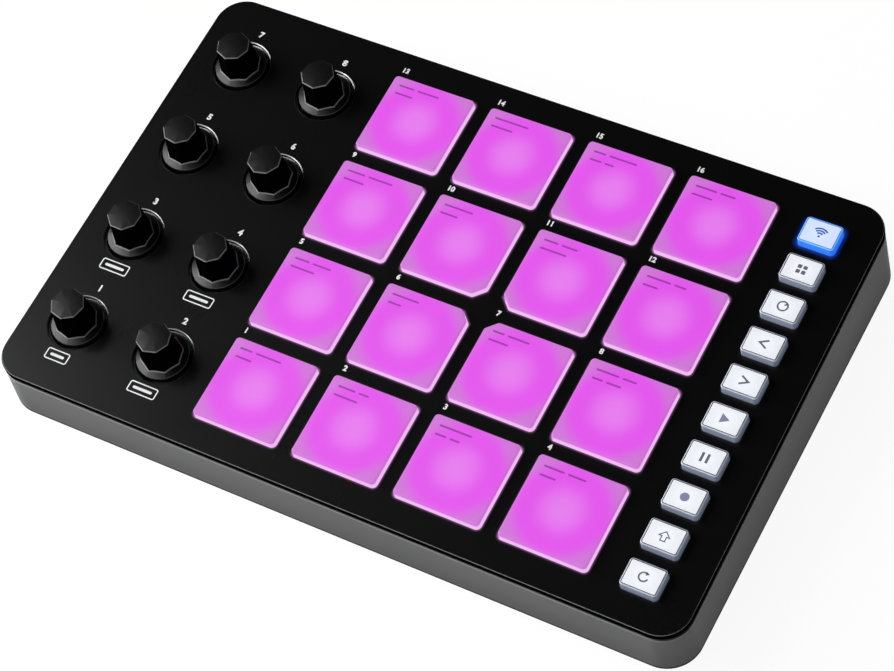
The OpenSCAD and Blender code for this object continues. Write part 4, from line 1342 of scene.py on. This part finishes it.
class StageOperator(bpy.types.Operator):
    """Set up the floor, the soft light and the camera"""

    bl_idname = "pad_controller.stage"
    bl_label = "Stage, light and camera"

    def execute(self, context):
        _, c = settings(context)
        scene = context.scene
        shape = Shape()
        floor_width, floor_corner, floor_z = 16.0, 6.0, -0.1 * MM
        shape.lid(shape.ring(corner_loop(sides_of(floor_width, floor_width), 0, floor_corner, 16),
                             floor_z))
        data = shape.data("pale_floor")
        floor = bpy.data.objects.new("pale_floor", data)
        scene.collection.objects.link(floor)
        data.materials.append(self.floor_finish(c))
        self.sky(scene)
        for lamp in LAMPS:
            self.lamp(scene, *lamp)
        camera = bpy.data.cameras.new("photo_view")
        camera.sensor_width = 36.0
        camera.lens = CAMERA_LENS
        camera.clip_start = 0.02
        camera.clip_end = 40.0
        view = bpy.data.objects.new("photo_view", camera)
        view.location = CAMERA_PLACE
        view.rotation_euler = [math.radians(angle) for angle in CAMERA_TURN]
        scene.collection.objects.link(view)
        scene.camera = view
        scene.view_settings.view_transform = "Standard"
        return {"FINISHED"}

    @staticmethod
    def floor_finish(c):
        """Pale floor that reads white to the camera and keeps the shadow."""
        material = bpy.data.materials.new("pale_floor")
        material.use_nodes = True
        net = Net(material.node_tree)
        material.node_tree.nodes.clear()
        matt = net.add("BsdfDiffuse")
        matt.inputs["Color"].default_value = (*c.floor, 1.0)
        path = net.add("LightPath").outputs
        mirrored = net.larger(path["Is Glossy Ray"], path["Is Transmission Ray"])
        glow = net.add("Emission")
        net.feed(glow.inputs["Strength"], net.times(mirrored, FLOOR_GLOW))
        both = net.add("AddShader")
        net.feed(both.inputs[0], matt.outputs[0])
        net.feed(both.inputs[1], glow.outputs[0])
        white = net.add("Emission")
        white.inputs["Strength"].default_value = FLOOR_WHITE
        seen = net.add("MixShader")
        net.feed(seen.inputs[0], net.times(path["Is Camera Ray"], FLOOR_SHARE))
        net.feed(seen.inputs[1], both.outputs[0])
        net.feed(seen.inputs[2], white.outputs[0])
        net.feed(net.add("OutputMaterial").inputs["Surface"], seen.outputs[0])
        return material

    @staticmethod
    def sky(scene):
        """Studio that is pale at the horizon and dark overhead."""
        world = bpy.data.worlds.new("studio")
        world.use_nodes = True
        scene.world = world
        net = Net(world.node_tree)
        back = world.node_tree.nodes["Background"]
        pale = net.step(net.axes("Generated")[2], *SKY_RANGE, 1.0, 0.0)
        net.feed(back.inputs["Color"], net.mix(pale, SKY_DARK, SKY_PALE))
        back.inputs["Strength"].default_value = 1.0

    @staticmethod
    def lamp(scene, name, at, size, power):
        """Soft box aimed at the middle of the panel."""
        light = bpy.data.lights.new(name, "AREA")
        light.shape = "RECTANGLE"
        light.size, light.size_y = size
        light.energy = power
        lamp = bpy.data.objects.new(name, light)
        lamp.location = at
        aim = Vector(LAMP_AIM) - Vector(at)
        lamp.rotation_euler = aim.to_track_quat("-Z", "Y").to_euler()
        scene.collection.objects.link(lamp)


class ControllerPanel(bpy.types.Panel):
    """Sidebar panel that lists the pieces"""

    bl_idname = "VIEW3D_PT_pad_controller"
    bl_label = "Pad controller"
    bl_space_type = "VIEW_3D"
    bl_region_type = "UI"
    bl_category = "Pad controller"

    def draw(self, context):
        for operator in OPERATORS:
            self.layout.operator(operator.bl_idname)
        for group in settings(context):
            column = self.layout.column(align=True)
            for name in group.__annotations__:
                column.prop(group, name)


OPERATORS = (PanelOperator, CaseOperator, UndersideOperator, PadsOperator, KeysOperator,
             KnobsOperator, PrintsOperator, SwitchOperator, InsideOperator, StageOperator)
CLASSES = (ControllerSizes, ControllerColours) + OPERATORS + (ControllerPanel,)


def register():
    """Registers the classes and the scene's properties."""
    for cls in CLASSES:
        bpy.utils.register_class(cls)
    bpy.types.Scene.controller_sizes = PointerProperty(type=ControllerSizes)
    bpy.types.Scene.controller_colours = PointerProperty(type=ControllerColours)


def unregister():
    """Removes the scene's properties and the classes."""
    del bpy.types.Scene.controller_colours
    del bpy.types.Scene.controller_sizes
    for cls in reversed(CLASSES):
        bpy.utils.unregister_class(cls)


def main():
    """Builds every piece in order."""
    register()
    for step in ("panel", "case", "underside", "pads", "keys", "knobs", "prints", "switch",
                 "inside", "stage"):
        getattr(bpy.ops.pad_controller, step)()


if __name__ == "__main__":
    main()
